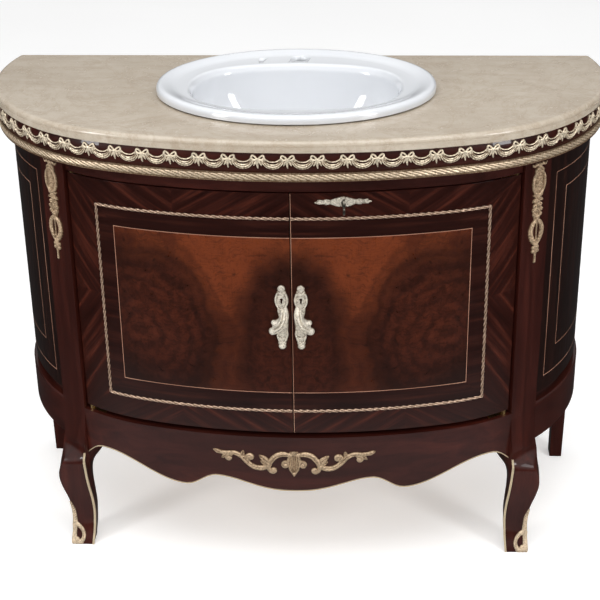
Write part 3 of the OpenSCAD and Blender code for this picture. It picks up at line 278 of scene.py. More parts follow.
drawn = marble.noise(bedding, 1, 7, 0.7, 1.2)
cream = marble.mix(marble.span(drawn, 0.48, 0.72, 0, 0.35), cream, (0.54, 0.48, 0.4))
cream = marble.mix(marble.span(drawn, 0.46, 0.3, 0, 0.35), cream, (0.32, 0.25, 0.18))
marble.set(Base_Color=cream, Roughness=marble.span(mottle, 0.3, 0.7, 0.18, 0.3))
marble.bumps((mottle, 0.04, 0.0004))
marble.cover(node["marble_top"])

# ---------------------------------------------------------------- basin
# A drop-in oval basin of white glazed fireclay, cast in one piece: a rolled rim on a short skirt, a
# flat deck with the tap hole and a small second hole, and an oval bowl set towards the front.
rim_half = (0.253, 0.2)
rim_at = 0.0355
rim_low, rim_top, deck_top, deck_under = 0.8815, 0.897, 0.891, 0.872
mouth_half, mouth_at, squareness = (0.19, 0.128), 0.0215, 0.14
bowl_half, lip_w, lip_drop = (0.04, 0.036), (0.004, 0.003), 0.011
bowl_floor, drain_at, drain_r, wall_t = 0.75, 0.0295, 0.02295, 0.012
tap_hole, small_hole = (0.0175, 0, 0.1835), (0.006, -0.073, 0.1755)
drill_low, drill_high = 0.86, 0.91
around = np.radians(np.arange(0, 360, 2))

glaze = Finish("white_glaze", Specular_IOR_Level=0.55, Coat_Weight=0.6, Coat_Roughness=0.03)
glaze_at = glaze.place()
pool = glaze.noise(glaze_at, 4, 3)
glaze.set(
    Base_Color=glaze.ramp(pool, (0.3, (0.63, 0.65, 0.685)), (0.7, (0.68, 0.695, 0.72))),
    Roughness=glaze.span(glaze.noise(glaze_at, 60, 3), 0.3, 0.8, 0.04, 0.09),
)
glaze.bumps((glaze.noise(glaze_at, 22, 2), 0.05, 0.0004))


def build(name, nets, finish, body="cabinet", sharp=None, uv=None, depth=None):
    """One piece from several nets: the points and faces are put behind each other, and the piece rides on
    its body. Edges that bend by more than sharp degrees stay crisp. uv and depth hold a value a point."""
    points, faces, start = [], [], 0
    for part, part_faces, caps in nets:
        points.append(part)
        faces += (part_faces + start).tolist() + [[start + k for k in cap] for cap in caps]
        start += len(part)
    mesh = bpy.data.meshes.new(name)
    mesh.from_pydata(np.concatenate(points).tolist(), [], faces)
    mesh.shade_smooth()
    if sharp is not None:
        mesh.set_sharp_from_angle(angle=math.radians(sharp))
    corner = np.zeros(len(mesh.loops), int)
    mesh.loops.foreach_get("vertex_index", corner)
    if uv is not None:
        mesh.uv_layers.new(name="face").data.foreach_set("uv", np.asarray(uv, float)[corner].ravel())
    if depth is not None:
        mesh.attributes.new("depth", "FLOAT", "POINT").data.foreach_set("value", np.asarray(depth, float))
    piece = bpy.data.objects.new(name, mesh)
    bpy.context.scene.collection.objects.link(piece)
    finish.cover(piece)
    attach(piece, body)
    return piece


def smooth_run(levels, steps):
    """A smooth line through rows of numbers, steps points from row to row: at t between two rows it is
    the cubic that passes through both with the slope of their neighbours (half their difference)."""
    levels = np.asarray(levels, float)
    padded = np.concatenate([levels[:1], levels, levels[-1:]])
    t = np.linspace(0, 1, steps, endpoint=False).reshape(-1, *[1] * (levels.ndim - 1))
    a, b, c, d = (padded[k:len(levels) - 1 + k, None] for k in range(4))
    run = 0.5 * (
        2 * b + (c - a) * t + (2 * a - 5 * b + 4 * c - d) * t ** 2 + (3 * b - a - 3 * c + d) * t ** 3
    )
    return np.concatenate([run.reshape(-1, *levels.shape[1:]), levels[-1:]])


def oval_rows(rows):
    """Rings of points, one for each row of (half length, half depth, y of the middle, height, k). The
    oval's x is multiplied by 1 + k sine squared and its y by 1 + k cosine squared, which squares it."""
    x, y, middle, z, k = np.asarray(rows, float).T[:, :, None]
    c, s = np.cos(around), np.sin(around)
    return np.stack(np.broadcast_arrays(x * c * (1 + k * s * s), middle + y * s * (1 + k * c * c), z), -1)


def bowl_rows(out, steps):
    """Rows of the bowl's ovals from its floor to its lip: with u from 0 to a quarter turn, the oval grows
    with sin u, rises with 1 - cos u and gets squarer with the root of sin u. out is the distance from
    the inner wall."""
    u = np.linspace(0, math.pi / 2, steps)
    grow_x, grow_y = (mouth - lip - half for mouth, lip, half in zip(mouth_half, lip_w, bowl_half))
    return np.stack([
        bowl_half[0] + (grow_x + out) * np.sin(u),
        bowl_half[1] + (grow_y + out) * np.sin(u),
        drain_at - (drain_at - mouth_at) * np.sin(u),
        bowl_floor + (deck_top - bowl_floor - lip_drop) * (1 - np.cos(u)) - out * np.cos(u),
        squareness * np.sqrt(np.sin(u)),
    ], 1)


def from_rim(inwards, height):
    """A row of the rim's oval, drawn in by a distance."""
    return [rim_half[0] - inwards, rim_half[1] - inwards, rim_at, height, 0]


def from_mouth(outwards, height):
    """A row of the mouth's squared oval, let out by a distance."""
    return [mouth_half[0] + outwards, mouth_half[1] + outwards, mouth_at, height, squareness]


roll = smooth_run([
    from_rim(0, rim_low + 0.0015), from_rim(0, rim_top - 0.008), from_rim(0.0015, rim_top - 0.004),
    from_rim(0.0045, rim_top - 0.0012), from_rim(0.009, rim_top), from_rim(0.015, rim_top - 0.0008),
    from_rim(0.022, rim_top - 0.0026), from_rim(0.03, deck_top + 0.0012), from_rim(0.037, deck_top),
], 4)
lip = smooth_run([
    from_mouth(0.0075, deck_top), from_mouth(0.005, deck_top - 0.0002),
    from_mouth(0.0025, deck_top - 0.0011), from_mouth(0.0006, deck_top - 0.003), bowl_rows(0, 2)[1],
], 4)
# The section runs from the drain up the outside, over the rim and the deck, and down the bowl again
basin_rows = np.concatenate([
    [[drain_r, drain_r, drain_at, bowl_floor - wall_t, 0]], bowl_rows(wall_t, 16)[:-1],
    [from_mouth(0.01, deck_under - 0.006), from_mouth(0.0125, deck_under), from_rim(0.027, deck_under)],
    [from_rim(0.027, rim_low), from_rim(0.002, rim_low)],
    roll, lip, bowl_rows(0, 40)[-2::-1], [[drain_r, drain_r, drain_at, bowl_floor, 0]],
])
basin = build("basin_glazed", [tube(oval_rows(basin_rows), closed=True)], glaze, sharp=50)

for hole_r, hole_x, hole_y in (tap_hole, small_hole):
    ring = np.stack([hole_x + hole_r * np.cos(around), hole_y + hole_r * np.sin(around), 0 * around], 1)
    rings = [ring + [0, 0, z] for z in (drill_low, drill_high)]
    drill = build("drill", [tube(rings, ends=True)], glaze)
    cut = basin.modifiers.new("hole", "BOOLEAN")
    cut.object = drill
    bpy.context.view_layer.update()
    bored = bpy.data.meshes.new_from_object(basin.evaluated_get(bpy.context.evaluated_depsgraph_get()))
    basin.modifiers.remove(cut)
    basin.data = bored
    bpy.data.objects.remove(drill)
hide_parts("basin")

# ---------------------------------------------------------------- waste
# A plated brass waste with a cast grid, drawn down on the bowl by its back nut between two rubber
# gaskets. A bead of dark sealant closes the joint between the basin and the marble.
plating = Finish("plated_waste", Base_Color=(0.72, 0.73, 0.75, 1), Metallic=1.0)
spots = plating.noise(plating.place(), 160, 5)
plating.set(Roughness=plating.span(spots, 0.35, 0.75, 0.07, 0.3))
plating.bumps((spots, 0.08, 0.0002))
plating.cover(node["waste_body"], node["waste_nut"])

rubber = Finish("dark_rubber", Roughness=0.75)
grain = rubber.noise(rubber.place(), 400, 3)
rubber.set(Base_Color=rubber.ramp(grain, (0.3, (0.025, 0.025, 0.024)), (0.7, (0.05, 0.05, 0.048))))
rubber.bumps((grain, 0.2, 0.0002))
rubber.cover(node["waste_gaskets"], node["basin_seal"])

# ---------------------------------------------------------------- frieze, rails and back legs
# Dark mahogany under a thick clear lacquer. The frieze is a cushion moulding in three lengths; below
# it the plain top rail, the apron and the side rails follow the bow of the doors. The back legs are
# straight and taper, and the doors shut against two stops.
lacquer = {"Coat_Weight": 0.6, "Coat_Roughness": 0.05, "Specular_IOR_Level": 0.12}


def dark_wood(name, turn=(0, 0, 0)):
    """Mahogany with its grain along X after the turn: streaks and pores are clouds drawn out along it."""
    wood = Finish(name, **lacquer)
    along = wood.place((1, 1, 1), turn)
    streak = wood.noise(wood.add("Mapping", along, Scale=(2.2, 26, 26))[0], 1.6, 5, 0.6, 0.7)
    figure = wood.noise(wood.add("Mapping", along, Scale=(1.5, 6, 6))[0], 1.0, 3, 0.5, 0.4)
    pore = wood.noise(wood.add("Mapping", along, Scale=(45, 900, 900))[0], 1.0, 2)
    colour = wood.ramp(
        streak,
        (0.25, (0.018, 0.0032, 0.0021)), (0.5, (0.037, 0.0064, 0.0038)), (0.75, (0.066, 0.0118, 0.0066)),
    )
    colour = wood.mix(wood.span(figure, 0.35, 0.7, 0, 0.6), colour, (0.02, 0.005, 0.0036))
    colour = wood.mix(wood.span(pore, 0.6, 0.72, 0, 0.5), colour, (0.006, 0.0025, 0.002))
    wood.set(Base_Color=colour, Roughness=wood.span(streak, 0.3, 0.7, 0.3, 0.42))
    wood.bumps((pore, 0.1, 0.0001), (figure, 0.06, 0.0008))
    return wood


level_wood = dark_wood("mahogany_level")
level_wood.cover(
    node["frieze_front"], node["top_rail"], node["apron"], node["upper_stop"], node["lower_stop"]
)
side_slant = 68
right_wood = dark_wood("mahogany_right_side", (0, 0, -side_slant))
right_wood.cover(node["frieze_right"], node["base_rail_right"])
left_wood = dark_wood("mahogany_left_side", (0, 0, side_slant))
left_wood.cover(node["frieze_left"], node["base_rail_left"])
upright_wood = dark_wood("mahogany_upright", (0, 90, 0))
upright_wood.cover(node["back_leg_left"], node["back_leg_right"])

# ---------------------------------------------------------------- front legs
# Each front leg is one length of mahogany: a post that stands 6 mm proud of the doors and, below the
# rails, a cabriole leg with a swelling knee, a thin ankle, a toe that turns out and a ridge in front.
front_centre = 0.8365


class Wall:
    """A bowed outline seen from above: a shallow front curve that runs over into a tighter side curve.

    The front curve's centre lies on the middle line at y = front_centre. Both curves touch where the
    line through their centres meets them, so that the turn there is the angle whose sine is the side
    centre's x over the difference of the radii.
    """

    def __init__(self, half_width, front_r, side_r):
        self.front_r, self.side_r = front_r, side_r
        self.side_x = half_width - side_r
        self.turn = math.asin(self.side_x / (front_r - side_r))
        self.side_y = front_centre - (front_r - side_r) * math.cos(self.turn)

    def by_angle(self, degrees, z, out):
        """Points at an angle from straight ahead, z up and out in front of the wall."""
        angle, z, out = np.broadcast_arrays(np.radians(degrees), z, out)
        sign, angle = np.sign(angle), np.abs(angle)
        side = angle > self.turn
        reach = np.where(side, self.side_r, self.front_r) + out
        x = np.where(side, self.side_x, 0) + reach * np.sin(angle)
        y = np.where(side, self.side_y, front_centre) - reach * np.cos(angle)
        return np.stack([sign * x, y, z], -1)

    def angle(self, s):
        """The angle of the point s metres round from the middle, in degrees."""
        s = np.asarray(s, float)
        front = self.front_r * self.turn
        over = np.maximum(np.abs(s) - front, 0)
        return np.sign(s) * np.degrees(np.minimum(np.abs(s), front) / self.front_r + over / self.side_r)

    def round_to(self, degrees):
        """How far round from the middle an angle past the turn lies, in metres."""
        return self.front_r * self.turn + self.side_r * (math.radians(degrees) - self.turn)

    def at(self, s, z, out):
        """Points s metres round from the middle, z up and out in front of the wall."""
        return self.by_angle(self.angle(s), z, out)


body_wall = Wall(half_width=0.552, front_r=1.047, side_r=0.37)
proud = 0.006
post_from, post_to, ridge_at, post_in = 36.2, 46.2, 37.6, 0.039
knee_high, rail_low, leg_top, post_high = 0.185, 0.216, 0.285, 0.807
post_middle = body_wall.by_angle((post_from + post_to) / 2, 0, proud)[:2]


def low_level(z, *corners):
    """Five corners in millimetres from the middle of the post's face: inner front, ridge, outer, back
    and inner back."""
    return [[*(post_middle + np.array(corner) / 1000), z] for corner in corners]


def high_level(z, swell, ridge, swell_out):
    """Five corners near the rails, where the leg's sides stay in the planes of the post."""
    return [
        body_wall.by_angle(angle, z, out)
        for angle, out in (
            (post_from, proud + swell), (ridge, proud + swell), (post_to, proud + swell_out),
            (post_to, -post_in), (post_from, -post_in),
        )
    ]


leg_levels = np.array([
    low_level(0, (-25, -48), (16, -46.5), (16.3, -27), (14.5, -10), (-25, -10)),
    low_level(0.010, (-26, -44), (15.5, -42.5), (16, -23), (14, -5), (-25.5, -5)),
    low_level(0.026, (-27.5, -36), (14.5, -35), (15, -17), (13, 2), (-27, 2)),
    low_level(0.050, (-28.5, -29), (13.5, -28.5), (14, -12), (12, 5), (-28, 5)),
    low_level(0.070, (-29, -28), (14.5, -27.5), (15, -12), (13, 5), (-29, 4)),
    low_level(0.097, (-27.5, -30.5), (20.5, -29.5), (21.5, -15), (19, 3), (-28, 2)),
    low_level(0.127, (-24, -35), (29.5, -33.5), (30.5, -15), (27, 4), (-25.5, 3)),
    low_level(0.150, (-21.5, -37), (33.5, -35), (35, -13), (28, 10), (-25.5, 5)),
    low_level(0.168, (-20, -37), (31, -34), (34, -7), (19, 20), (-30, 7)),
    low_level(knee_high, (-18.5, -35), (22, -31.5), (31, 2), (5, 38), (-43, 12)),
    high_level(rail_low - 0.016, 0.010, 42.3, 0.009),
    high_level(rail_low, 0.009, 40.6, 0.005),
    high_level(rail_low + 0.012, 0.0076, 39.6, 0.003),
    high_level(rail_low + 0.034, 0.004, 38.4, 0.0012),
    high_level(leg_top, 0, ridge_at, 0),
])
leg_run = smooth_run(leg_levels, 7)


def leg_rings():
    """Rings of forty points, eight to a side. Each side is straight between two corners. From the knee up
    to the post its front, outer and back sides take on the bow of the wall: the gap between the post's
    arc and its chord is added, times the share of the height to the power 0.7."""
    share = np.linspace(0, 1, 8, endpoint=False)[:, None]
    following = np.roll(leg_run, -1, 1)
    straight = leg_run[:, :, None] * (1 - share) + following[:, :, None] * share
    bow = np.zeros((5, 8, 3))
    bowed = (
        (0, post_from, ridge_at, proud), (1, ridge_at, post_to, proud), (3, post_to, post_from, -post_in),
    )
    for side, a, b, out in bowed:
        ends = body_wall.by_angle(np.array([a, b]), 0, out)
        arc = body_wall.by_angle(a + (b - a) * share[:, 0], 0, out)
        bow[side] = arc - (ends[:1] * (1 - share) + ends[1:] * share)
    rise = np.clip((leg_run[:, 0, 2] - knee_high) / (leg_top - knee_high), 0, 1) ** 0.7
    rings = (straight + rise[:, None, None, None] * bow).reshape(len(leg_run), 40, 3)
    post = np.array([rings[-1]] * 5)
    post[:, :, 2] = np.linspace(leg_top, post_high, 6)[1:, None]
    return np.concatenate([rings, post])


sides = ((1, "right"), (-1, "left"))
for side, name in sides:
    rings = (leg_rings() * [side, 1, 1])[:, ::side]
    leg = build(f"front_leg_{name}_shaped", [tube(rings, ends=True)], upright_wood, sharp=28)
    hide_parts(f"front_leg_{name}")

# ---------------------------------------------------------------- doors
# Each door is a bowed board with a veneered face: a border of mahogany laid slantwise in six mitred
# lengths, a dark band with its grain level, a thin light line and a field of burr. The two fields are
# cut from one knife of veneer and mirror each other. A pale strip along the right door's meeting edge is
# a painted highlight of the rounded edge.
door_angle, door_gap = 35.658, 0.0004
door_from, door_to = 0.001, body_wall.round_to(door_angle) - door_gap
door_low, door_high = 0.3054, 0.7772
rope_s, rope_low, rope_high = 0.352, 0.351, 0.7305
joint_s, joint_z = 0.205, 0.556
line_s, line_low, line_high, line_w, line_out = 0.318, 0.3885, 0.695, 0.0011, 0.00036
line_to = line_s + line_w
edge_highlight_w, edge_highlight_out = 0.0007, 0.00042
veneer_t = 0.0003


def slab(front, back):
    """A closed slab between two nets of the same points, whose rows rise and whose columns go right."""
    rows, columns = front.shape[:2]
    number = np.arange(rows * columns).reshape(rows, columns)
    face = squares(number)
    rim = np.concatenate([number[0], number[1:, -1], number[-1, -2::-1], number[-2:0:-1, 0]])
    following = np.roll(rim, -1)
    edge = np.stack([rim, rim + rows * columns, following + rows * columns, following], -1)
    points = np.concatenate([front.reshape(-1, 3), back.reshape(-1, 3)])
    return points, np.concatenate([face, face[:, ::-1] + rows * columns, edge]), []


def veneer(side, corners, turn, out=veneer_t, under=veneer_t, sheet=0.0):
    """One piece of veneer: the corners, (s, z) from low inner round to high inner, are joined by straight
    lines, and the sheet between them, in squares of about 8 mm, is bent round the wall. It reaches from
    under the wall's face to out in front of it. Its uv are metres along and across the grain, which is
    turned by turn degrees from level; sheet moves it to another part of the log."""
    low_in, low_out, high_out, high_in = np.array(corners, float)
    reach = np.max(np.abs(np.array(corners, float) - np.roll(corners, 1, 0)), 0)
    columns, rows = (max(2, int(size / 0.008) + 2) for size in reach)
    across = np.linspace(0, 1, columns)[None, :, None]
    up = np.linspace(0, 1, rows)[:, None, None]
    low, high = low_in * (1 - across) + low_out * across, high_in * (1 - across) + high_out * across
    s, z = np.moveaxis((low * (1 - up) + high * up)[:, ::side], -1, 0)
    cos, sin = math.cos(math.radians(turn)), math.sin(math.radians(turn))
    uv = np.stack([s * cos + z * sin + sheet, z * cos - s * sin], -1).reshape(-1, 2)
    front, back = body_wall.at(side * s, z, out), body_wall.at(side * s, z, -under)
    return slab(front, back), np.concatenate([uv, uv])


def oblong(from_s, to_s, low, high):
    """The corners of an upright oblong sheet, in the order that veneer() takes."""
    return [(from_s, low), (to_s, low), (to_s, high), (from_s, high)]


def lay(name, sheets, finish, body):
    """Puts pieces of veneer into one object."""
    slabs, uv = zip(*sheets)
    piece = build(name, slabs, finish, body, sharp=40, uv=np.concatenate(uv))


def veneer_wood(name, dark, middle, light, stripe=0.5):
    """Sliced wood with its grain along u: ribbon stripes about a centimetre wide, fine streaks and open
    pores, all of them clouds on the veneer's own uv drawn out along the grain."""
    wood = Finish(name, **lacquer)
    sheet = wood.add("TexCoord")["UV"]
    ribbon = wood.noise(wood.add("Mapping", sheet, Scale=(5, 85, 1))[0], 1, 3, 0.5, 0.3)
    streak = wood.noise(wood.add("Mapping", sheet, Scale=(14, 420, 1))[0], 1, 4, 0.6, 0.2)
    patch = wood.noise(wood.add("Mapping", sheet, Scale=(9, 16, 1))[0], 1, 3, 0.5, 0.6)
    pore = wood.noise(wood.add("Mapping", sheet, Scale=(160, 2600, 1))[0], 1, 1)
    colour = wood.ramp(ribbon, (0.3, dark), (0.52, middle), (0.72, light))
    colour = wood.mix(wood.span(streak, 0.42, 0.7, 0, stripe), colour, dark)
    colour = wood.mix(wood.span(patch, 0.4, 0.75, 0, 0.5), colour, middle)
    colour = wood.mix(wood.span(pore, 0.6, 0.75, 0, 0.4), colour, tuple(0.4 * c for c in dark))
    wood.set(Base_Color=colour, Roughness=wood.span(ribbon, 0.3, 0.7, 0.28, 0.42))
    wood.bumps((pore, 0.08, 0.00008), (patch, 0.05, 0.0008))
    return wood


border_wood = veneer_wood(
    "border_veneer", (0.011, 0.002, 0.0011), (0.026, 0.0044, 0.0021), (0.085, 0.015, 0.0057)
)
band_wood = veneer_wood(
    "cross_band_veneer", (0.0095, 0.002, 0.0012), (0.019, 0.0036, 0.0019), (0.046, 0.009, 0.0038)
)
line_wood = veneer_wood("light_line", (0.24, 0.11, 0.07), (0.4, 0.21, 0.14), (0.55, 0.32, 0.22), 0.3)

burr = Finish("burr_veneer", **lacquer)
leaf_at = burr.add("TexCoord")["UV"]
# The figure is drawn at places that wander off by a few centimetres, and finely by a few millimetres
bent = leaf_at
for scale, detail, roughness, far in ((11.0, 4.0, 0.55, 0.075), (55.0, 5.0, 0.6, 0.012)):
    shake = burr.add("TexNoise", Vector=leaf_at, Scale=scale, Detail=detail, Roughness=roughness)[1]
    wander = burr.add("VectorMath", shake, (-0.5, -0.5, -0.5), operation="ADD")[0]
    wander = burr.add("VectorMath", wander, (far, far, 0), operation="MULTIPLY")[0]
    bent = burr.add("VectorMath", bent, wander, operation="ADD")[0]


def oval(middle, half):
    """How far out a place lies in an oval of the burr: 0 at its middle and 1 at its edge."""
    shift = (-middle[0] / half[0], -middle[1] / half[1], 0)
    moved = burr.add("Mapping", bent, Location=shift, Scale=(1 / half[0], 1 / half[1], 0))[0]
    return burr.add("VectorMath", moved, operation="LENGTH")[1]


outer_eye = oval((0.27, 0.495), (0.138, 0.17))
outer_heart = oval((0.24, 0.53), (0.07, 0.09))
inner_eye = oval((0.0, 0.49), (0.094, 0.165))
inner_heart = oval((0.03, 0.46), (0.04, 0.11))
funnel = oval((0.122, 0.72), (0.085, 0.2))
height = burr.add("SeparateXYZ", leaf_at)[1]
cloud_big = burr.noise(bent, 12, 6, 0.65, 0.8)
cloud_small = burr.noise(leaf_at, 70, 7, 0.7, 0.8)
curl = burr.noise(burr.add("Mapping", bent, Scale=(34, 120, 1))[0], 1, 6, 0.68, 1.8)
fibre = burr.noise(burr.add("Mapping", leaf_at, Scale=(420, 60, 1))[0], 1, 5, 0.6, 0.6)
colour = burr.ramp(
    cloud_big,
    (0.35, (0.056, 0.0112, 0.0038)), (0.5, (0.092, 0.0186, 0.0052)), (0.65, (0.13, 0.0275, 0.007)),
)
colour = burr.mix(burr.span(funnel, 1.15, 0.5, 0, 0.85), colour, (0.15, 0.0305, 0.0078))
colour = burr.mix(burr.span(height, 0.6, 0.42, 0, 0.68), colour, (0.042, 0.0092, 0.0038))
ring_dark, ring_deep = (0.0085, 0.0026, 0.0016), (0.0145, 0.0038, 0.0022)
eye_red = burr.ramp(cloud_small, (0.4, (0.03, 0.0066, 0.0031)), (0.6, (0.07, 0.0132, 0.005)))
ring_base = burr.ramp(cloud_small, (0.42, ring_dark), (0.62, ring_deep))
for eye, heart, share in ((outer_eye, outer_heart, 0.9), (inner_eye, inner_heart, 0.6)):
    ring_tone = burr.mix(burr.span(heart, 1.7, 0.7, 0, share), ring_base, eye_red)
    colour = burr.mix(burr.span(eye, 1.2, 0.84, 0, 0.92), colour, ring_tone)
ripple = burr.add("Math", burr.add("Math", outer_eye, 34.0, operation="MULTIPLY")[0], operation="SINE")[0]
near_eye = burr.span(outer_eye, 1.5, 0.9)
ripple = burr.add("Math", burr.span(ripple, -0.2, 1, 0, 0.45), near_eye, operation="MULTIPLY")[0]
colour = burr.mix(ripple, colour, ring_deep)
colour = burr.mix(burr.span(curl, 0.48, 0.64, 0, 0.45), colour, ring_deep)
colour = burr.mix(burr.span(fibre, 0.52, 0.75, 0, 0.35), colour, ring_deep)
knot_at = burr.add("TexVoronoi", Vector=bent, Scale=26.0)[0]
colour = burr.mix(burr.span(knot_at, 0.14, 0.02, 0, 0.7), colour, (0.005, 0.0022, 0.0016))
burr.set(Base_Color=colour, Roughness=burr.span(cloud_small, 0.3, 0.7, 0.26, 0.4))
burr.bumps((cloud_small, 0.05, 0.0003), (cloud_big, 0.04, 0.001))

# Each sheet of the border and the band has its grain's turn, its place on the log and its corners
border_sheets = (
    (-32, 0, oblong(door_from, joint_s, rope_high, door_high)),
    (32, 3, [(joint_s, rope_high), (rope_s, rope_high), (door_to, door_high), (joint_s, door_high)]),
    (52, 5, [(rope_s, joint_z), (door_to, joint_z), (door_to, door_high), (rope_s, rope_high)]),
    (-52, 7, [(rope_s, rope_low), (door_to, door_low), (door_to, joint_z), (rope_s, joint_z)]),
    (-32, 9, [(joint_s, door_low), (door_to, door_low), (rope_s, rope_low), (joint_s, rope_low)]),
    (32, 11, oblong(door_from, joint_s, door_low, rope_low)),
)
band_sheets = (
    (0, 0, [(door_from, line_high), (line_to, line_high), (rope_s, rope_high), (door_from, rope_high)]),
    (0, 2, [(line_to, line_low), (rope_s, rope_low), (rope_s, rope_high), (line_to, line_high)]),
    (0, 4, [(door_from, rope_low), (rope_s, rope_low), (line_to, line_low), (door_from, line_low)]),
)
field_low, field_high = line_low + line_w, line_high - line_w
line_sheets = (
    (0, 0, oblong(door_from, line_to, line_low, field_low)),
    (0, 0, oblong(door_from, line_to, field_high, line_high)),
    (90, 0, oblong(line_s, line_to, field_low, field_high)),
)
field_sheets = ((0, 0, oblong(door_from, line_s, field_low, field_high)),)
for side, name in sides:
    for layer, sheets, finish, out in (
        ("border", border_sheets, border_wood, veneer_t), ("band", band_sheets, band_wood, veneer_t),
        ("line", line_sheets, line_wood, line_out), ("burr", field_sheets, burr, veneer_t),
    ):
        laid = [veneer(side, corners, turn, out, sheet=sheet) for turn, sheet, corners in sheets]
        lay(f"door_{layer}_{name}", laid, finish, f"{name}_door")
# Painted highlight: a pale strip of light-line wood along the right door's meeting edge, where the rounded
# edge catches the light
edge_corners = oblong(door_from, door_from + edge_highlight_w, door_low, door_high)
lay("door_edge_painted_highlight", [veneer(1, edge_corners, 90, edge_highlight_out)], line_wood, "right_door")
board_wood = dark_wood("mahogany_board", (0, 90, 0))
board_wood.cover(node["door_left"], node["door_right"], node["side_panel_left"], node["side_panel_right"])

# ---------------------------------------------------------------- gilt strips
# All the mounts are brass, chased and gilt: pale gold on what stands out, and in the hollows brown
# patina with painted shade.
# The plainest are half-round strips that edge the apron and each front leg.


def gilding(name, patina_and_shade, bright, metallic):
    """Gilt brass of a bright colour, chased all over. Where the second argument is set, the point attribute
    depth, 0 low and 1 high, lays brown patina and painted shade in the hollows, and the chasing's low spots
    are painted darker."""
    gilt = Finish(name, Metallic=metallic)
    cloud = gilt.noise(gilt.place(), 90, 4, 0.6)
    chased = gilt.noise(gilt.place(), 280, 3, 0.6, 0.6)
    pits = gilt.noise(gilt.place(), 1100, 3, 0.6)
    tone = gilt.ramp(cloud, (0.3, tuple(0.85 * c for c in bright)), (0.65, bright))
    rough = gilt.span(pits, 0.3, 0.7, 0.26, 0.44)
    if patina_and_shade:
        # Painted shade: the low spots of the chasing's bumps are darkened
        tone = gilt.mix(gilt.span(chased, 0.52, 0.4, 0, 0.5), tone, tuple(0.35 * c for c in bright))
        # Brown patina and painted shade in the hollows: the lower the point attribute depth, the browner
        # the gilt
        high = gilt.add("Attribute", attribute_name="depth")[2]
        high = gilt.add("Math", high, gilt.span(chased, 0.3, 0.7, -0.18, 0.18), operation="ADD")[0]
        tone = gilt.mix(gilt.span(high, 0.5, 0.06, 0, 0.9), tone, (0.15, 0.085, 0.04))
        rough = gilt.add("Math", rough, gilt.span(high, 0.45, 0.05, 0, 0.25), operation="ADD")[0]
    gilt.set(Base_Color=tone, Roughness=rough)
    gilt.bumps((chased, 0.55, 0.0006), (pits, 0.2, 0.0001))
    return gilt


plain_gilt = gilding("plain_gilt", False, (0.8, 0.65, 0.44), 0.62)
plain_gilt.cover(node["apron_strip"], node["leg_strip_left"], node["leg_strip_right"])

# ---------------------------------------------------------------- garland
# A gilt festoon round the whole frieze, cast in lengths: every 50 mm a ribbon bow with three tails, and
# between two bows a swag of leaves that thickens towards its middle, with a ribbon over it.
festoon_gilt = gilding("festoon_gilt", True, (0.92, 0.79, 0.6), 0.5)
garland_z, garland_half = 0.848, 24.925
frieze_middle, frieze_half, frieze_fall, frieze_back = 0.8425, 0.0175, 0.0035, 0.003
top_wall = Wall(half_width=0.569, front_r=1.078, side_r=0.35)


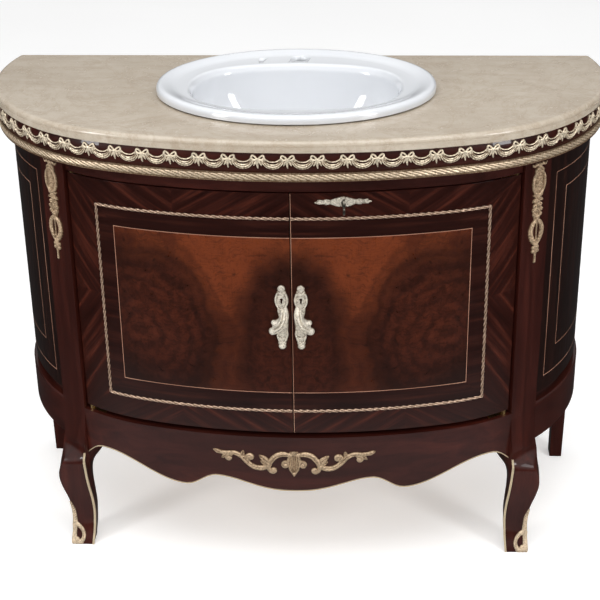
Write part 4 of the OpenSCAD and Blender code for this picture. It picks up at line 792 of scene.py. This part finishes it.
class Relief:
    """A cast relief, drawn in millimetres with round strokes, x across and z up.

    Every stroke is a row of discs. Over a disc of radius r and height h the metal rises by h times the
    square root of 1 - (d / r) squared, d being the distance from its middle, and the highest disc wins.
    Cuts take away depth times 1 - (d / r) squared, and holes go right through.
    """

    def __init__(self):
        self.discs, self.cuts, self.holes = [], [], []

    def stroke(self, line, radius, height, both=False, smooth=True):
        """A stroke along a line, whose radius and height run from its first value to its last."""
        line = np.asarray(line, float)
        run = smooth_run(line, 12) if smooth and len(line) > 2 else line
        length = np.concatenate([[0], np.cumsum(np.hypot(*np.diff(run, axis=0).T))])
        steps = np.linspace(0, length[-1], max(2, int(length[-1] / 0.5) + 1))
        share = steps / max(length[-1], 1e-6)
        x, z = (np.interp(steps, length, run[:, k]) for k in (0, 1))
        sizes = (np.atleast_1d(values) for values in (radius, height))
        r, h = (np.interp(share, np.linspace(0, 1, len(values)), values) for values in sizes)
        for sign in (1, -1) if both else (1,):
            self.discs.append(np.stack([sign * x, z, r, h], 1))
        return self

    def bead(self, x, z, r, h, both=False):
        """A single round boss."""
        return self.stroke([(x, z), (x, z)], r, h, both)

    def curl(self, x, z, wide, tight, start, turn, radius, height, both=False):
        """A volute round a middle, from the radius wide to the radius tight, over turn degrees, that ends
        in a boss."""
        share = np.linspace(0, 1, 24)
        reach, angle = wide + (tight - wide) * share, np.radians(start + turn * share)
        line = np.stack([x + reach * np.cos(angle), z + reach * np.sin(angle)], 1)
        self.stroke(line, radius, height, both, smooth=False)
        last_r, last_h = (np.atleast_1d(values)[-1] for values in (radius, height))
        return self.bead(x, z, tight + last_r * 0.6, last_h * 1.15, both)

    def leaf(self, foot, tip, width, height, both=False):
        """A pointed leaf that bulges in the middle, with a vein cut along it."""
        foot, tip = np.asarray(foot, float), np.asarray(tip, float)
        widths = [width * k for k in (0.45, 0.85, 1, 0.8, 0.3)]
        heights = [height * k for k in (0.7, 1, 1, 0.8, 0.4)]
        self.stroke([foot, tip], widths, heights, both)
        vein = [foot + 0.15 * (tip - foot), foot + 0.85 * (tip - foot)]
        return self.cut(vein, 0.22 * width, 0.45 * height, both)

    def cut(self, line, radius, depth, both=False):
        """A groove along a line."""
        kept, self.discs = self.discs, []
        self.stroke(line, radius, depth, both)
        self.cuts += self.discs
        self.discs = kept
        return self

    def risen(self, x, z):
        """How far the metal rises at each place, how far the place lies inside the nearest rim, less than
        0 outside, and the disc of that rim."""
        discs = np.concatenate(self.discs)
        rise, reach, near = np.zeros(len(x)), np.full(len(x), -1e9), np.zeros(len(x), int)
        for first in range(0, len(discs), 64):
            cx, cz, r, h = discs[first:first + 64].T[:, :, None]
            d = np.hypot(x - cx, z - cz)
            inside, best = r - d, np.argmax(r - d, 0)
            found = inside[best, np.arange(len(x))]
            near, reach = np.where(found > reach, best + first, near), np.maximum(reach, found)
            rise = np.maximum(rise, (h * np.sqrt(np.clip(1 - (d / r) ** 2, 0, None))).max(0))
        return rise, reach, discs[near]

    def taken(self, x, z, punched):
        """How much the cuts and the punched ground take away at each place."""
        taken = np.zeros(len(x))
        for part in self.cuts:
            cx, cz, r, h = part.T[:, :, None]
            hollow = h * np.clip(1 - ((x - cx) ** 2 + (z - cz) ** 2) / r ** 2, 0, None)
            taken = np.maximum(taken, hollow.max(0))
        punches = np.sin((x + 0.4 * z) * 1.85) * np.sin((z - 0.5 * x) * 1.85)
        return np.maximum(taken, punched * np.clip(punches * 1.6, 0, 1))

    def cast(self, low, high, cell, place, under, base, full, repeat=1, punched=0.0):
        """Casts the relief on the squares of a net between two corners, in millimetres. Squares that no
        disc touches are left out, corners outside the discs are drawn in to the nearest rim, and repeat
        puts that many lengths of the same pattern in a row. The ground is punched all over to a depth:
        the product of two slanting waves about 3 mm long. place() sets the casting on its wall, from
        under the wall's face to base in front of it and the relief on that, in metres. Gives back a
        closed net and its depths, where 1 is what rises by full and isn't cut."""
        span = np.array(high, float) - low
        columns, rows = (int(round(size / cell)) for size in span)
        across, up = (np.linspace(*ends) for ends in zip(low, high, (columns + 1, rows + 1)))
        x, z = (value.ravel() for value in np.meshgrid(across, up))
        rise, reach, rim_disc = self.risen(x, z)
        taken = self.taken(x, z, punched)
        bare = np.zeros(len(x), bool)
        for cx, cz, r in self.holes:
            bare |= np.hypot(x - cx, z - cz) < r
        face = squares(np.arange(len(x)).reshape(rows + 1, columns + 1))
        face = face[(reach[face] > 0).any(1) & ~bare[face].all(1)]

        # The corners just outside a rim come in to it, and those inside a hole go out to its edge
        cx, cz, r = rim_disc[:, :3].T
        d = np.maximum(np.hypot(x - cx, z - cz), 1e-6)
        out = reach < 0
        drawn = out & (reach > -1.5 * cell)
        x, z = np.where(drawn, cx + (x - cx) * r / d, x), np.where(drawn, cz + (z - cz) * r / d, z)
        for cx, cz, r in self.holes:
            d = np.maximum(np.hypot(x - cx, z - cz), 1e-6)
            x, z = (np.where(d < r, c + (v - c) * r / d, v) for c, v in ((cx, x), (cz, z)))
        rise = np.where(out, 0, np.maximum(rise - taken, 0.15 * rise))
        # The level is low where the relief is low or cut, and there the gilt takes patina and painted shade
        level = np.clip(rise / full, 0, 1) * (1 - 0.6 * np.clip(taken, 0, 1))

        # Lengths in a row share the corners where they meet
        if repeat > 1:
            width, apart = columns + 1, (np.arange(repeat) - (repeat - 1) / 2) * span[0]
            x, z, rise, level = (value.reshape(rows + 1, width) for value in (x, z, rise, level))
            x = np.concatenate([x[:, :-1] + a for a in apart] + [x[:, -1:] + apart[-1]], 1).ravel()
            z, rise, level = (
                np.concatenate([value[:, :-1]] * repeat + [value[:, -1:]], 1).ravel()
                for value in (z, rise, level)
            )
            row, column = np.divmod(face, width)
            long = columns * repeat + 1
            face = np.concatenate([row * long + column + k * columns for k in range(repeat)])

        # The back is the same net, and a skirt joins both along the edges that only one square has
        used, face = np.unique(face, return_inverse=True)
        face = face.reshape(-1, 4)
        x, z, rise = x[used] / 1000, z[used] / 1000, rise[used] / 1000
        front, back = place(x, z, base + rise), place(x, z, np.full(len(x), -under))
        edges = np.concatenate([face[:, [k, (k + 1) % 4]] for k in range(4)])
        key = edges.min(1) * len(used) + edges.max(1)
        values, times = np.unique(key, return_counts=True)
        rim = edges[np.isin(key, values[times == 1])]
        skirt = np.stack([rim[:, 0], rim[:, 0] + len(used), rim[:, 1] + len(used), rim[:, 1]], 1)
        part = (np.concatenate([front, back]), np.concatenate([face, face[:, ::-1] + len(used), skirt]), [])
        return part, np.concatenate([level[used]] * 2)


def mount(name, part, depth, finish, body, replaced):
    """Puts a casting into the scene in place of its plain solid."""
    piece = build(name, [part], finish, body, sharp=60, depth=depth)
    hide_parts(replaced)


festoon = Relief()
festoon.bead(0, 0.2, 2.3, 2.6)
festoon.stroke([(1, 0.5), (4.5, 5), (9, 7), (10.8, 3.2), (7.2, 0.2), (1.5, -0.3)], 1.6, 2.2, both=True)
festoon.stroke([(0, -1), (-0.6, -7), (0.3, -14.5)], [1.7, 2.3, 1.1], 2)
festoon.stroke([(1.2, -1), (4, -5.5), (6.4, -10)], [1.5, 2, 1], 1.8, both=True)
festoon.stroke(
    [(8, -1), (11.5, -6.6), (17.5, -11), (25.3, -12.6)], [2.4, 3.6, 4.5, 4.9], [2, 2.6, 3], both=True
)
festoon.stroke([(9.5, 4), (14.5, -0.6), (19.5, -3.2), (25.3, -4)], 1.15, 1.6, both=True)
festoon.bead(11, -2, 2.2, 2.2, both=True)
for fold in (
    [(9, -4), (12.6, -9.2), (18.3, -13.4), (25.3, -15.2)],
    [(10.4, -1.6), (14.2, -6.6), (19.4, -9.8), (25.3, -11)],
):
    festoon.cut(fold, 1.0, 2.4, both=True)
for x, z in ((12.4, -7), (17, -10.6), (22, -12.4)):
    festoon.cut([(x - 2, z + 4.2), (x + 0.8, z - 4.2)], 0.6, 1.2, both=True)


def on_cushion(x, z, out):
    """Places on the frieze's cushion, whose face falls back towards its two edges with the square of the
    height above or below its middle."""
    height = (z + garland_z - frieze_middle) / frieze_half
    return top_wall.at(x, z + garland_z, out - frieze_back - frieze_fall * height ** 2)


part, depth = festoon.cast(
    (-garland_half, -18), (garland_half, 9), 0.92, on_cushion, under=0.002, base=0.0003, full=3.0, repeat=35
)
mount("garland_cast", part, depth, festoon_gilt, "cabinet", "garland")

# ---------------------------------------------------------------- twisted band
# A gilt band 15 mm high under the frieze, cast in three lengths: a ribbon twisted round a rod between
# two plain fillets.
cast_gilt = gilding("cast_gilt", True, (0.77, 0.61, 0.43), 0.58)
band_low, band_high = 0.809, 0.824
fillet_out, band_out, band_back = -0.003, -0.0042, -0.0062
swell_high, strand_high = 0.0018, 0.0006


def band_run(start, end):
    """The band's section, carried along from one angle to another: fillets below and above, and between
    them a hollow with a round swell, cut into slanting strands. The swell's height is a half oval's, and
    a strand is the wave sin(s / 2.1 mm + height / 0.8 mm)."""
    start, end = (top_wall.round_to(abs(angle)) * np.sign(angle) for angle in (start, end))
    s = np.linspace(end, start, int((end - start) / 0.0011))[:, None]
    up = np.concatenate([[0, 0, 0.1, 0.13], np.linspace(0.17, 0.83, 15), [0.87, 0.9, 1, 1]])[None, :]
    z = band_low + (band_high - band_low) * up
    swell = np.sqrt(np.clip(1 - ((up - 0.5) / 0.36) ** 2, 0, 1))
    strand = np.sin(s / 0.0021 + (z - (band_low + band_high) / 2) / 0.0008)
    fillet = np.minimum(up, 1 - up) < 0.11
    out = np.where(fillet, fillet_out, band_out + swell * (swell_high + strand_high * strand))
    out[:, [0, -1]] = band_back
    # The depth lays patina and painted shade on the gilt: most on the fillets and between the strands
    depth = np.where(fillet, 0.08, 0.05 + 0.95 * np.clip((strand + 1) / 1.4, 0, 1) * swell)
    return top_wall.at(s, z, out), depth


for name, start, end in (("front", -41, 41), ("right", 41.03, 106.4), ("left", -106.4, -41.03)):
    points, depth = band_run(start, end)
    part = tube(points, ends=True)
    mount(f"band_{name}_cast", part, depth.ravel(), cast_gilt, "cabinet", f"band_{name}")

# ---------------------------------------------------------------- rope mouldings
# A rope of three strands, cast in brass and gilt, frames each door on three sides. It is let in where
# the border and the band meet.
rope_gilt = gilding("rope_gilt", True, (0.65, 0.45, 0.33), 0.58)
rope_r, rope_pitch, rope_out = 0.0024, 0.0125, 0.0004
rope_path = ((door_from, rope_high), (rope_s, rope_high), (rope_s, rope_low), (door_from, rope_low))


def rope_along(run):
    """A rope along a line of (s, z): at each place the section is a round with three lobes, whose radius
    is 1 + 0.2 cos(3 angle - turn) times the rope's, and turn grows by a circle with every pitch."""
    run = np.asarray(run, float)
    length = np.concatenate([[0], np.cumsum(np.hypot(*np.diff(run, axis=0).T))])
    steps = np.arange(0, length[-1], 0.0008)
    s, z = (np.interp(steps, length, run[:, k])[:, None] for k in (0, 1))
    ahead_s, ahead_z = np.gradient(s[:, 0]), np.gradient(z[:, 0])
    size = np.hypot(ahead_s, ahead_z)
    ahead_s, ahead_z = (ahead_s / size)[:, None], (ahead_z / size)[:, None]
    angle = np.linspace(0, 2 * np.pi, 12, endpoint=False)[None, :]
    lobe = np.cos(3 * angle - 2 * np.pi * steps[:, None] / rope_pitch)
    reach = rope_r * (1 + 0.2 * lobe)
    aside, out = reach * np.cos(angle), reach * np.sin(angle)
    points = body_wall.at(s - ahead_z * aside, z + ahead_s * aside, out + rope_out)
    # The depth is low between the strands, where the gilt takes patina and painted shade
    return points, np.clip(0.45 + 0.6 * lobe, 0, 1)


for side, name in sides:
    points, depth = rope_along([(side * s, z) for s, z in rope_path])
    part = tube(points, ends=True)
    mount(f"rope_{name}_twisted", part, depth.ravel(), rope_gilt, f"{name}_door", f"rope_{name}")

# ---------------------------------------------------------------- apron mount
# A gilt acanthus scroll in one casting, pinned to the middle of the apron: a palmette between two
# C-scrolls, and long S-scrolls with curling leaves at either side.
# A darker gilt, whose hollows take brown patina and painted shade
aged_gilt_with_painted_shade = gilding("aged_gilt_with_painted_shade", True, (0.67, 0.49, 0.32), 0.58)
acanthus_z = 0.2405
acanthus = Relief()
acanthus.stroke([(0, 22), (0, 8), (0, -8), (0, -25)], [9, 12, 10, 1.8], [3, 5, 3])
acanthus.stroke([(6, 20), (9.5, 6), (6, -9), (0.8, -20)], [3, 4.2, 3, 1.2], [4.5, 5.5, 3.5], both=True)
for x in (0, 3.6, 7.6):
    acanthus.cut([(0.3 * x, -17), (x, -2), (0.85 * x, 18)], 1, 2.4, both=True)
acanthus.curl(15.5, -1.5, 6.6, 2.2, 100, -330, [3.4, 2.6], [3, 4], both=True)
acanthus.stroke(
    [(8, 19), (20, 21.5), (33, 17), (43, 5), (47, -7), (44, -15)],
    [3.8, 5.4, 5.4, 4.8, 4], [3.4, 4.4, 4.2, 4], both=True,
)
acanthus.curl(38.5, -13, 6, 2.2, 0, -300, [3.8, 3], [3.6, 4.4], both=True)
acanthus.leaf((45, 2), (63, 16.5), 6, 3.8, both=True)
acanthus.leaf((46, -3), (61, 5), 5.2, 3.4, both=True)
acanthus.stroke(
    [(46, -2), (57, -9), (72, -8.5), (86, 1), (97, 13.5), (111, 20), (127, 19), (141, 20)],
    [5.2, 5.4, 5, 4.6, 4.8, 4.4, 3.6, 4], [3.6, 4.2, 4, 3.8, 3.8, 3.4, 3], both=True,
)
acanthus.curl(80.5, 12.5, 8, 2.4, -60, 330, [3.6, 3], [3.2, 4.2], both=True)
acanthus.leaf((96, 12), (94, 25), 4.4, 3, both=True)
acanthus.curl(120, 9.5, 7, 2.2, 120, -330, [3.6, 2.8], [3.2, 4.2], both=True)
acanthus.leaf((124, 17), (134, 7.5), 4, 2.8, both=True)
acanthus.leaf((134, 19), (149, 23.5), 4.4, 3, both=True)
acanthus.cut([(12, 20), (22, 20.5), (34, 15.5), (43, 3)], 1, 2, both=True)
acanthus.cut([(60, -8.5), (73, -7), (86, 3), (97, 15), (112, 20)], 1, 2, both=True)


def on_apron(x, z, out):
    """Places on the apron's face, which is flush with the front posts."""
    return body_wall.at(x, z + acanthus_z, proud + out)


part, depth = acanthus.cast(
    (-150, -27), (150, 27), 0.75, on_apron, under=0.0003, base=0.0005, full=5.2, punched=0.9
)
mount("apron_mount_cast", part, depth, aged_gilt_with_painted_shade, "cabinet", "apron_mount")

# ---------------------------------------------------------------- corner mounts
# A gilt drop on each front post: a ribbon crown under the band, an oval frame filled with small
# flowers, a leafy knot, an open wreath of two sprays and a tassel.
corner_angle, corner_foot = 41.3, 0.600
drop = Relief()
drop.stroke([(0, 186), (7, 190), (13, 187.5), (17, 190.5)], [3.2, 3, 2.6, 1.6], [3, 3, 2], both=True)
drop.stroke([(2, 184), (8, 180), (9, 176)], [3, 2.6, 2], 3, both=True)
drop.stroke([(0, 190), (0, 178)], 3.4, 3.6)
ring_angle = np.radians(np.arange(0, 361, 12))
oval_frame = np.stack([14.2 * np.sin(ring_angle), 155.5 + 22.5 * np.cos(ring_angle)], 1)
drop.stroke(oval_frame, 2.3, 4.2, smooth=False)
drop.stroke([(0, 170), (0, 141)], 11.5, 1.8, smooth=False)
drop.stroke([(0, 118), (0, 104), (0, 88)], [8, 12, 8], 1.6)
for x, z, r in (
    (0, 166, 3.6), (5, 161, 3), (-5, 160, 3.2), (0, 155, 4), (5.5, 151, 3.1), (-5.5, 150, 3),
    (0, 144, 3.6), (6, 170, 2), (-6, 170, 2), (6, 142, 2), (-6, 142, 2),
):
    drop.bead(x, z, r, 1.1 * r)
    drop.cut([(x, z), (x + 0.01, z)], 0.35 * r, 1.4)
drop.bead(0, 128, 4.6, 4.2)
drop.leaf((2, 129), (12, 133), 3, 3, both=True)
drop.leaf((2, 126), (13, 120), 3.4, 3.2, both=True)
for x, z, r in (
    (0, 119, 4.6), (7, 113, 4), (-7.5, 112, 4.2), (-9.5, 104, 3.8), (10, 104, 3.6), (-8, 96, 4),
    (7.5, 95, 4.2), (0, 91, 5), (-2.5, 105, 4.2), (0, 83, 4),
):
    drop.bead(x, z, r, 0.95 * r)
    drop.cut([(x - 0.5 * r, z + 0.4 * r), (x + 0.5 * r, z - 0.4 * r)], 0.25 * r, 1.3)
drop.stroke(
    [(0, 84), (8, 79), (13, 69), (13, 58), (9, 47), (2, 37)],
    [3.4, 4.6, 5.2, 5, 4.2, 3], [3.2, 4, 3.4], both=True,
)
for z, x in ((80, 8), (74, 12), (68, 14), (62, 14), (56, 12.8), (50, 10), (44, 6)):
    drop.leaf((x - 3, z + 2.4), (x + 4.6, z - 3), 2.7, 4.4, both=True)
    drop.cut([(x - 3.5, z - 1.5), (x + 2.5, z + 0.5)], 0.6, 1.5, both=True)
drop.stroke([(0, 84), (0, 60), (0, 38)], [1.8, 1.3, 2], 2.4)
drop.bead(0, 35, 5.4, 4.6)
for x, z in ((5, 31), (-5, 31), (0, 27), (5.5, 24), (-5.5, 24)):
    drop.bead(x, z, 4, 3.6)
drop.leaf((0, 30), (0, 16), 4.2, 3.8)
drop.stroke([(0, 18), (0, 8), (0, 2.6)], [2.2, 2.2, 2.7], 2.8)


def on_post(x, z, out):
    """Places on the right front post's face, x measured round from the line of the mount."""
    angle = corner_angle + np.degrees(x / (body_wall.side_r + proud))
    return body_wall.by_angle(angle, z + corner_foot, proud + out)


def turned_over(part, depth):
    """The same casting on the left: its points are mirrored and its faces turned round."""
    points, faces, caps = part
    return (points * [-1, 1, 1], faces[:, ::-1], caps), depth


part, depth = drop.cast(
    (-21, -1), (21, 193), 0.6, on_post, under=0.0003, base=0.0005, full=4.3, punched=1.2
)
mount("corner_mount_right_cast", part, depth, aged_gilt_with_painted_shade, "cabinet", "corner_mount_right")
part, depth = turned_over(part, depth)
mount("corner_mount_left_cast", part, depth, aged_gilt_with_painted_shade, "cabinet", "corner_mount_left")

# ---------------------------------------------------------------- sabots
# A gilt shoe on each front foot: a loop round the toe that is open in the middle, and a tapering leaf
# that runs 88 mm up the ridge of the leg.
sabot = Relief()
sabot.stroke([(0, 87), (-0.8, 70), (-1.4, 52), (-2, 38)], [2.2, 4.2, 4.6, 5.6], [2, 3.2, 3.8])
sabot.stroke([(-2, 40), (-1.6, 26), (-1, 8)], [5.6, 4.6, 6], [3.8, 3, 3.4])
sabot.stroke(
    [(-4, 38), (-12, 33), (-19.5, 23), (-20.5, 12), (-16, 5)], [4.6, 3.8, 3.4, 3.8, 4.6], [3.8, 3.2, 3.4]
)
sabot.stroke([(-17, 4.6), (-8, 5), (0, 5)], [4.6, 5, 5], 3.2)
sabot.curl(-7, 8, 4.4, 1.6, 200, -300, 2.2, 3.8)
sabot.stroke([(2, 36), (9, 28), (14.5, 16), (14, 5)], [4.4, 3.8, 3.6, 4.2], [3.4, 3, 3])
sabot.stroke([(0, 4.6), (8, 4.4), (15, 4.4)], [5, 4.4, 4.2], 3)
for z in (81, 76, 71, 66, 61, 56, 51, 46):
    sabot.cut([(-5, z + 3), (0, z - 1.5), (5, z + 3)], 0.7, 1.6)
sabot.cut([(-6, 35), (-13, 30.5), (-19.5, 20), (-19, 10)], 0.9, 1.8)
foot_rings = leg_rings()[:60]


def on_leg(x, z, out):
    """Places on the right leg: x is measured round the leg from its ridge, and out along the normal. The
    ring at the height z lies between the two nearest rings in proportion."""
    levels = foot_rings[:, 0, 2]
    where = np.interp(z, levels, np.arange(len(levels)))
    low = np.minimum(where.astype(int), len(levels) - 2)
    share = (where - low)[:, None, None]
    ring = (foot_rings[low] * (1 - share) + foot_rings[low + 1] * share)[:, :, :2]
    # From the middle of the back round by the inner side, the front and the outer side; the ridge is
    # its point number 20
    ring = np.concatenate([ring[:, -12:], ring[:, :24]], 1)
    size = np.linalg.norm(np.diff(ring, axis=1), axis=2)
    length = np.concatenate([np.zeros((len(z), 1)), np.cumsum(size, 1)], 1)
    length -= length[:, 20:21]

    def at(reach):
        """The place on each ring that lies reach round from its nought."""
        k = np.clip((length < reach[:, None]).sum(1) - 1, 0, length.shape[1] - 2)
        row = np.arange(len(z))
        part = ((reach - length[row, k]) / (length[row, k + 1] - length[row, k]))[:, None]
        return ring[row, k] * (1 - part) + ring[row, k + 1] * part

    along = at(x + 0.004) - at(x - 0.004)
    along /= np.linalg.norm(along, axis=1)[:, None]
    face = at(x) + np.stack([along[:, 1], -along[:, 0]], 1) * out[:, None]
    return np.concatenate([face, z[:, None]], 1)


part, depth = sabot.cast(
    (-26, 0.2), (20, 90), 0.6, on_leg, under=0.0004, base=0.0004, full=2.8, punched=1.0
)
mount("sabot_right_cast", part, depth, cast_gilt, "cabinet", "sabot_right")
part, depth = turned_over(part, depth)
mount("sabot_left_cast", part, depth, cast_gilt, "cabinet", "sabot_left")

# ---------------------------------------------------------------- pulls
# Each door has a pale gilt pull near the meeting: a tall cast backplate with a keyhole, chased with
# shells and leaves, and on it a bold curling leaf that the fingers take hold of.
pale_gilt = gilding("pale_gilt", True, (0.84, 0.77, 0.65), 0.42)
pull_s, pull_z = 0.017, 0.542
grip = Relief()
for x, z, r, h in (
    (0, 56.3, 6.7, 3.6), (0, 48, 8.2, 2.6), (0, 42, 9.4, 2.6), (0, 34, 11.2, 2.8), (-0.5, 26, 9.6, 2.8),
):
    grip.bead(x, z, r, h)
grip.stroke([(-1, 24), (-1, 14), (-3, 2), (-4.5, -10), (-3, -24)], [8.4, 8.6, 7.8, 7, 7.6], [2.8, 3, 3])
for x, z, r, h in ((-1, -32, 10.2, 3), (-0.5, -42, 8.8, 3), (0, -50, 7.4, 3), (0, -56.3, 6.7, 3.6)):
    grip.bead(x, z, r, h)
grip.stroke([(8, 46), (10.4, 36), (9, 26), (5, 19)], [1.6, 1.8, 1.6], 4.2, both=True)
grip.stroke([(4, 55), (3.4, 60), (0, 62)], 1.3, 4.4, both=True)
grip.stroke([(-9, -26), (-9.6, -34), (-6, -44), (-2.5, -49)], [1.6, 1.8, 1.4], 4.4)
grip.stroke([(6.5, -28), (8, -35), (5.6, -44), (2.5, -49)], [1.6, 1.8, 1.4], 4.4)
grip.curl(0, -56, 4.6, 1.6, 90, 330, 1.3, 4.6)
grip.stroke(
    [(-6, 18), (-6.5, 8), (-4, -4), (3, -16), (12, -24), (16.5, -26.5)],
    [4, 6.2, 7.4, 7.8, 7.4, 7], [5, 10, 15, 17, 13, 9],
)
grip.stroke([(2, -4), (8, -9), (14, -10)], [4.4, 5, 5.2], [9, 10, 7])
grip.stroke([(-1, 14), (1, 2), (7, -9), (15, -17)], [2.4, 3, 3, 2.2], [8, 13, 15, 11])
for line in ([(-7.5, 10), (-6, -3), (2, -16), (12, -26)], [(-2.5, 8), (-0.5, -4), (6, -14), (15, -21)]):
    grip.cut(line, 0.9, 2.6)
for z in (20, 50, -38, -46):
    grip.cut([(-5, z + 1.5), (0, z - 1.5), (5, z + 1.5)], 0.7, 1.4)
grip.holes += [(0, 35.8, 2.9), (0, 32.4, 1.7), (0, 30.6, 1.7), (0, 28.8, 1.7)]


def by_meeting(x, z, out):
    """Places on the right door round the middle of its pull."""
    return body_wall.at(x + pull_s, z + pull_z, out)


part, depth = grip.cast(
    (-14, -64), (25, 64), 0.55, by_meeting, under=0.0003, base=0.0012, full=4.4, punched=0.8
)
mount("pull_right_cast", part, depth, pale_gilt, "right_door", "pull_right")
part, depth = turned_over(part, depth)
mount("pull_left_cast", part, depth, pale_gilt, "left_door", "pull_left")

# ---------------------------------------------------------------- escutcheon
# A long pale gilt plate, cast and chased like the pulls and pinned round the keyhole of the right door,
# with a leafy arm to either side.
lock_s, lock_z = 0.091, 0.761
plate = Relief()
plate.stroke([(-6, 0), (0, 0.6), (6, 0)], [7.6, 9.4, 7.6], 2)
plate.stroke([(7, 6.2), (13, 4), (19, 2.4)], [2.6, 3, 2.4], 2.4, both=True)
plate.stroke([(7, -6), (13, -4), (19, -2)], [2.6, 3, 2.4], 2.4, both=True)
plate.stroke([(12, 0), (26, 0.4), (40, 0), (47.5, -0.4)], [4.4, 4.2, 4, 1.5], [1.8, 2, 1.4], both=True)
plate.leaf((19, 0), (31, 4.6), 2.6, 2.6, both=True)
plate.leaf((19, 0), (31, -4), 2.4, 2.6, both=True)
plate.leaf((31, 0), (43, 3.6), 2.4, 2.4, both=True)
plate.leaf((31, 0), (44, -2.6), 2.4, 2.4, both=True)
plate.bead(17, 0.2, 3.2, 3, both=True).bead(31, 0.2, 2.8, 2.8, both=True)
plate.holes += [(0, 0, 3.4), (0, -3.4, 1.6), (0, -4.8, 1.6)]


def round_lock(x, z, out):
    """Places on the right door round its keyhole."""
    return body_wall.at(x + lock_s, z + lock_z, out)


part, depth = plate.cast(
    (-50, -11), (50, 11), 0.5, round_lock, under=0.0003, base=0.0005, full=2.6, punched=0.9
)
mount("escutcheon_cast", part, depth, pale_gilt, "right_door", "escutcheon")

# ---------------------------------------------------------------- side panels
# Each side is a bowed board veneered in dark mahogany, with two light lines let in one inside the
# other; both frames are open towards the wall.
side_from, side_to = body_wall.round_to(46.25) + door_gap, body_wall.round_to(92.55)
side_low, side_high, side_line_out = 0.3125, 0.8065, 0.00042
side_frames = ((50.3, 0.342, 0.757), (56.0, 0.395, 0.720))
panel_wood = veneer_wood(
    "panel_veneer", (0.0065, 0.0024, 0.0019), (0.012, 0.0038, 0.0025), (0.028, 0.0078, 0.0045)
)
for side, name in sides:
    sheet = veneer(side, oblong(side_from, side_to, side_low, side_high), 90, sheet=13)
    lay(f"side_veneer_{name}", [sheet], panel_wood, "cabinet")
    lines = []
    for angle, low, high in side_frames:
        s, inner_low, inner_high = body_wall.round_to(angle), low + line_w, high - line_w
        for turn, corners in (
            (0, oblong(s, side_to, low, inner_low)),
            (0, oblong(s, side_to, inner_high, high)),
            (90, oblong(s, s + line_w, inner_low, inner_high)),
        ):
            lines.append(veneer(side, corners, turn, side_line_out))
    lay(f"side_lines_{name}", lines, line_wood, "cabinet")

# ---------------------------------------------------------------- closing strip
# A thin dark strip of mahogany, glued behind the left door's meeting edge, fills the slit between the
# doors. It stops just short of the right door, so that either door opens alone.
strip_from, strip_to, strip_low, strip_high = -0.006, 0.0009, 0.312, 0.764
strip_front, strip_back = 0.0222, 0.0252
strip = veneer(1, oblong(strip_from, strip_to, strip_low, strip_high), 90, -strip_front, strip_back)
lay("closing_strip", [strip], border_wood, "left_door")

# ---------------------------------------------------------------- inner woods
# The parts out of sight are plain: a back panel of plywood, and a rail, bearers, a bottom board and glue
# blocks of sawn softwood, left unpolished.


def plain_wood(name, turn, light, dark):
    """Unpolished pale wood with its grain along X after the turn."""
    wood = Finish(name, Specular_IOR_Level=0.25)
    along = wood.place((1, 1, 1), turn)
    ring = wood.noise(wood.add("Mapping", along, Scale=(1.4, 24, 24))[0], 1.5, 4, 0.55, 0.9)
    fibre = wood.noise(wood.add("Mapping", along, Scale=(20, 500, 500))[0], 1, 3)
    colour = wood.mix(wood.span(ring, 0.35, 0.65, 0, 1), light, dark)
    colour = wood.mix(wood.span(fibre, 0.5, 0.75, 0, 0.4), colour, tuple(0.6 * c for c in dark))
    wood.set(Base_Color=colour, Roughness=wood.span(fibre, 0.3, 0.7, 0.6, 0.8))
    wood.bumps((fibre, 0.25, 0.0002))
    return wood


deal_level = plain_wood("deal_level", (0, 0, 0), (0.42, 0.28, 0.16), (0.3, 0.18, 0.09))
deal_level.cover(node["back_top_rail"], node["marble_bearers"], node["bottom_board"])
deal_upright = plain_wood("deal_upright", (0, 90, 0), (0.4, 0.27, 0.16), (0.29, 0.18, 0.095))
deal_upright.cover(node["back_panel"], node["glue_blocks"])

# ---------------------------------------------------------------- hinges, lock and catches
# Pivot hinges and strike plates of drawn brass; a steel lock with a brass bolt; steel ball catches and
# screws; and a key of darkened brass with a pierced bow.


def metal(name, low, high, smooth, rough, along=(1, 1, 1)):
    """Worked metal: brushed along one way, with stains and fine scratches."""
    made = Finish(name, Metallic=1.0)
    stain = made.noise(made.place(), 70, 4, 0.6)
    brush = made.noise(made.place(along), 260, 3, 0.6)
    colour = made.ramp(stain, (0.3, low), (0.7, high))
    made.set(Base_Color=colour, Roughness=made.span(brush, 0.3, 0.7, smooth, rough))
    made.bumps((brush, 0.12, 0.0001))
    return made


hinge_brass = metal("hinge_brass", (0.46, 0.32, 0.13), (0.66, 0.48, 0.22), 0.2, 0.42, (1, 1, 6))
hinge_brass.cover(
    node["hinge_frames_left"], node["hinge_frames_right"], node["hinge_leaves_left"],
    node["hinge_leaves_right"], node["hinge_collars"], node["strike_plates"], node["lock_bolt"],
)
lock_steel = metal("lock_steel", (0.36, 0.36, 0.37), (0.56, 0.56, 0.57), 0.22, 0.45, (6, 1, 1))
lock_steel.cover(node["lock_case"], node["ball_catch_left"], node["ball_catch_right"], node["back_screws"])
key_brass = metal("key_brass", (0.09, 0.08, 0.065), (0.24, 0.22, 0.18), 0.25, 0.45)
key_brass.cover(node["key"])
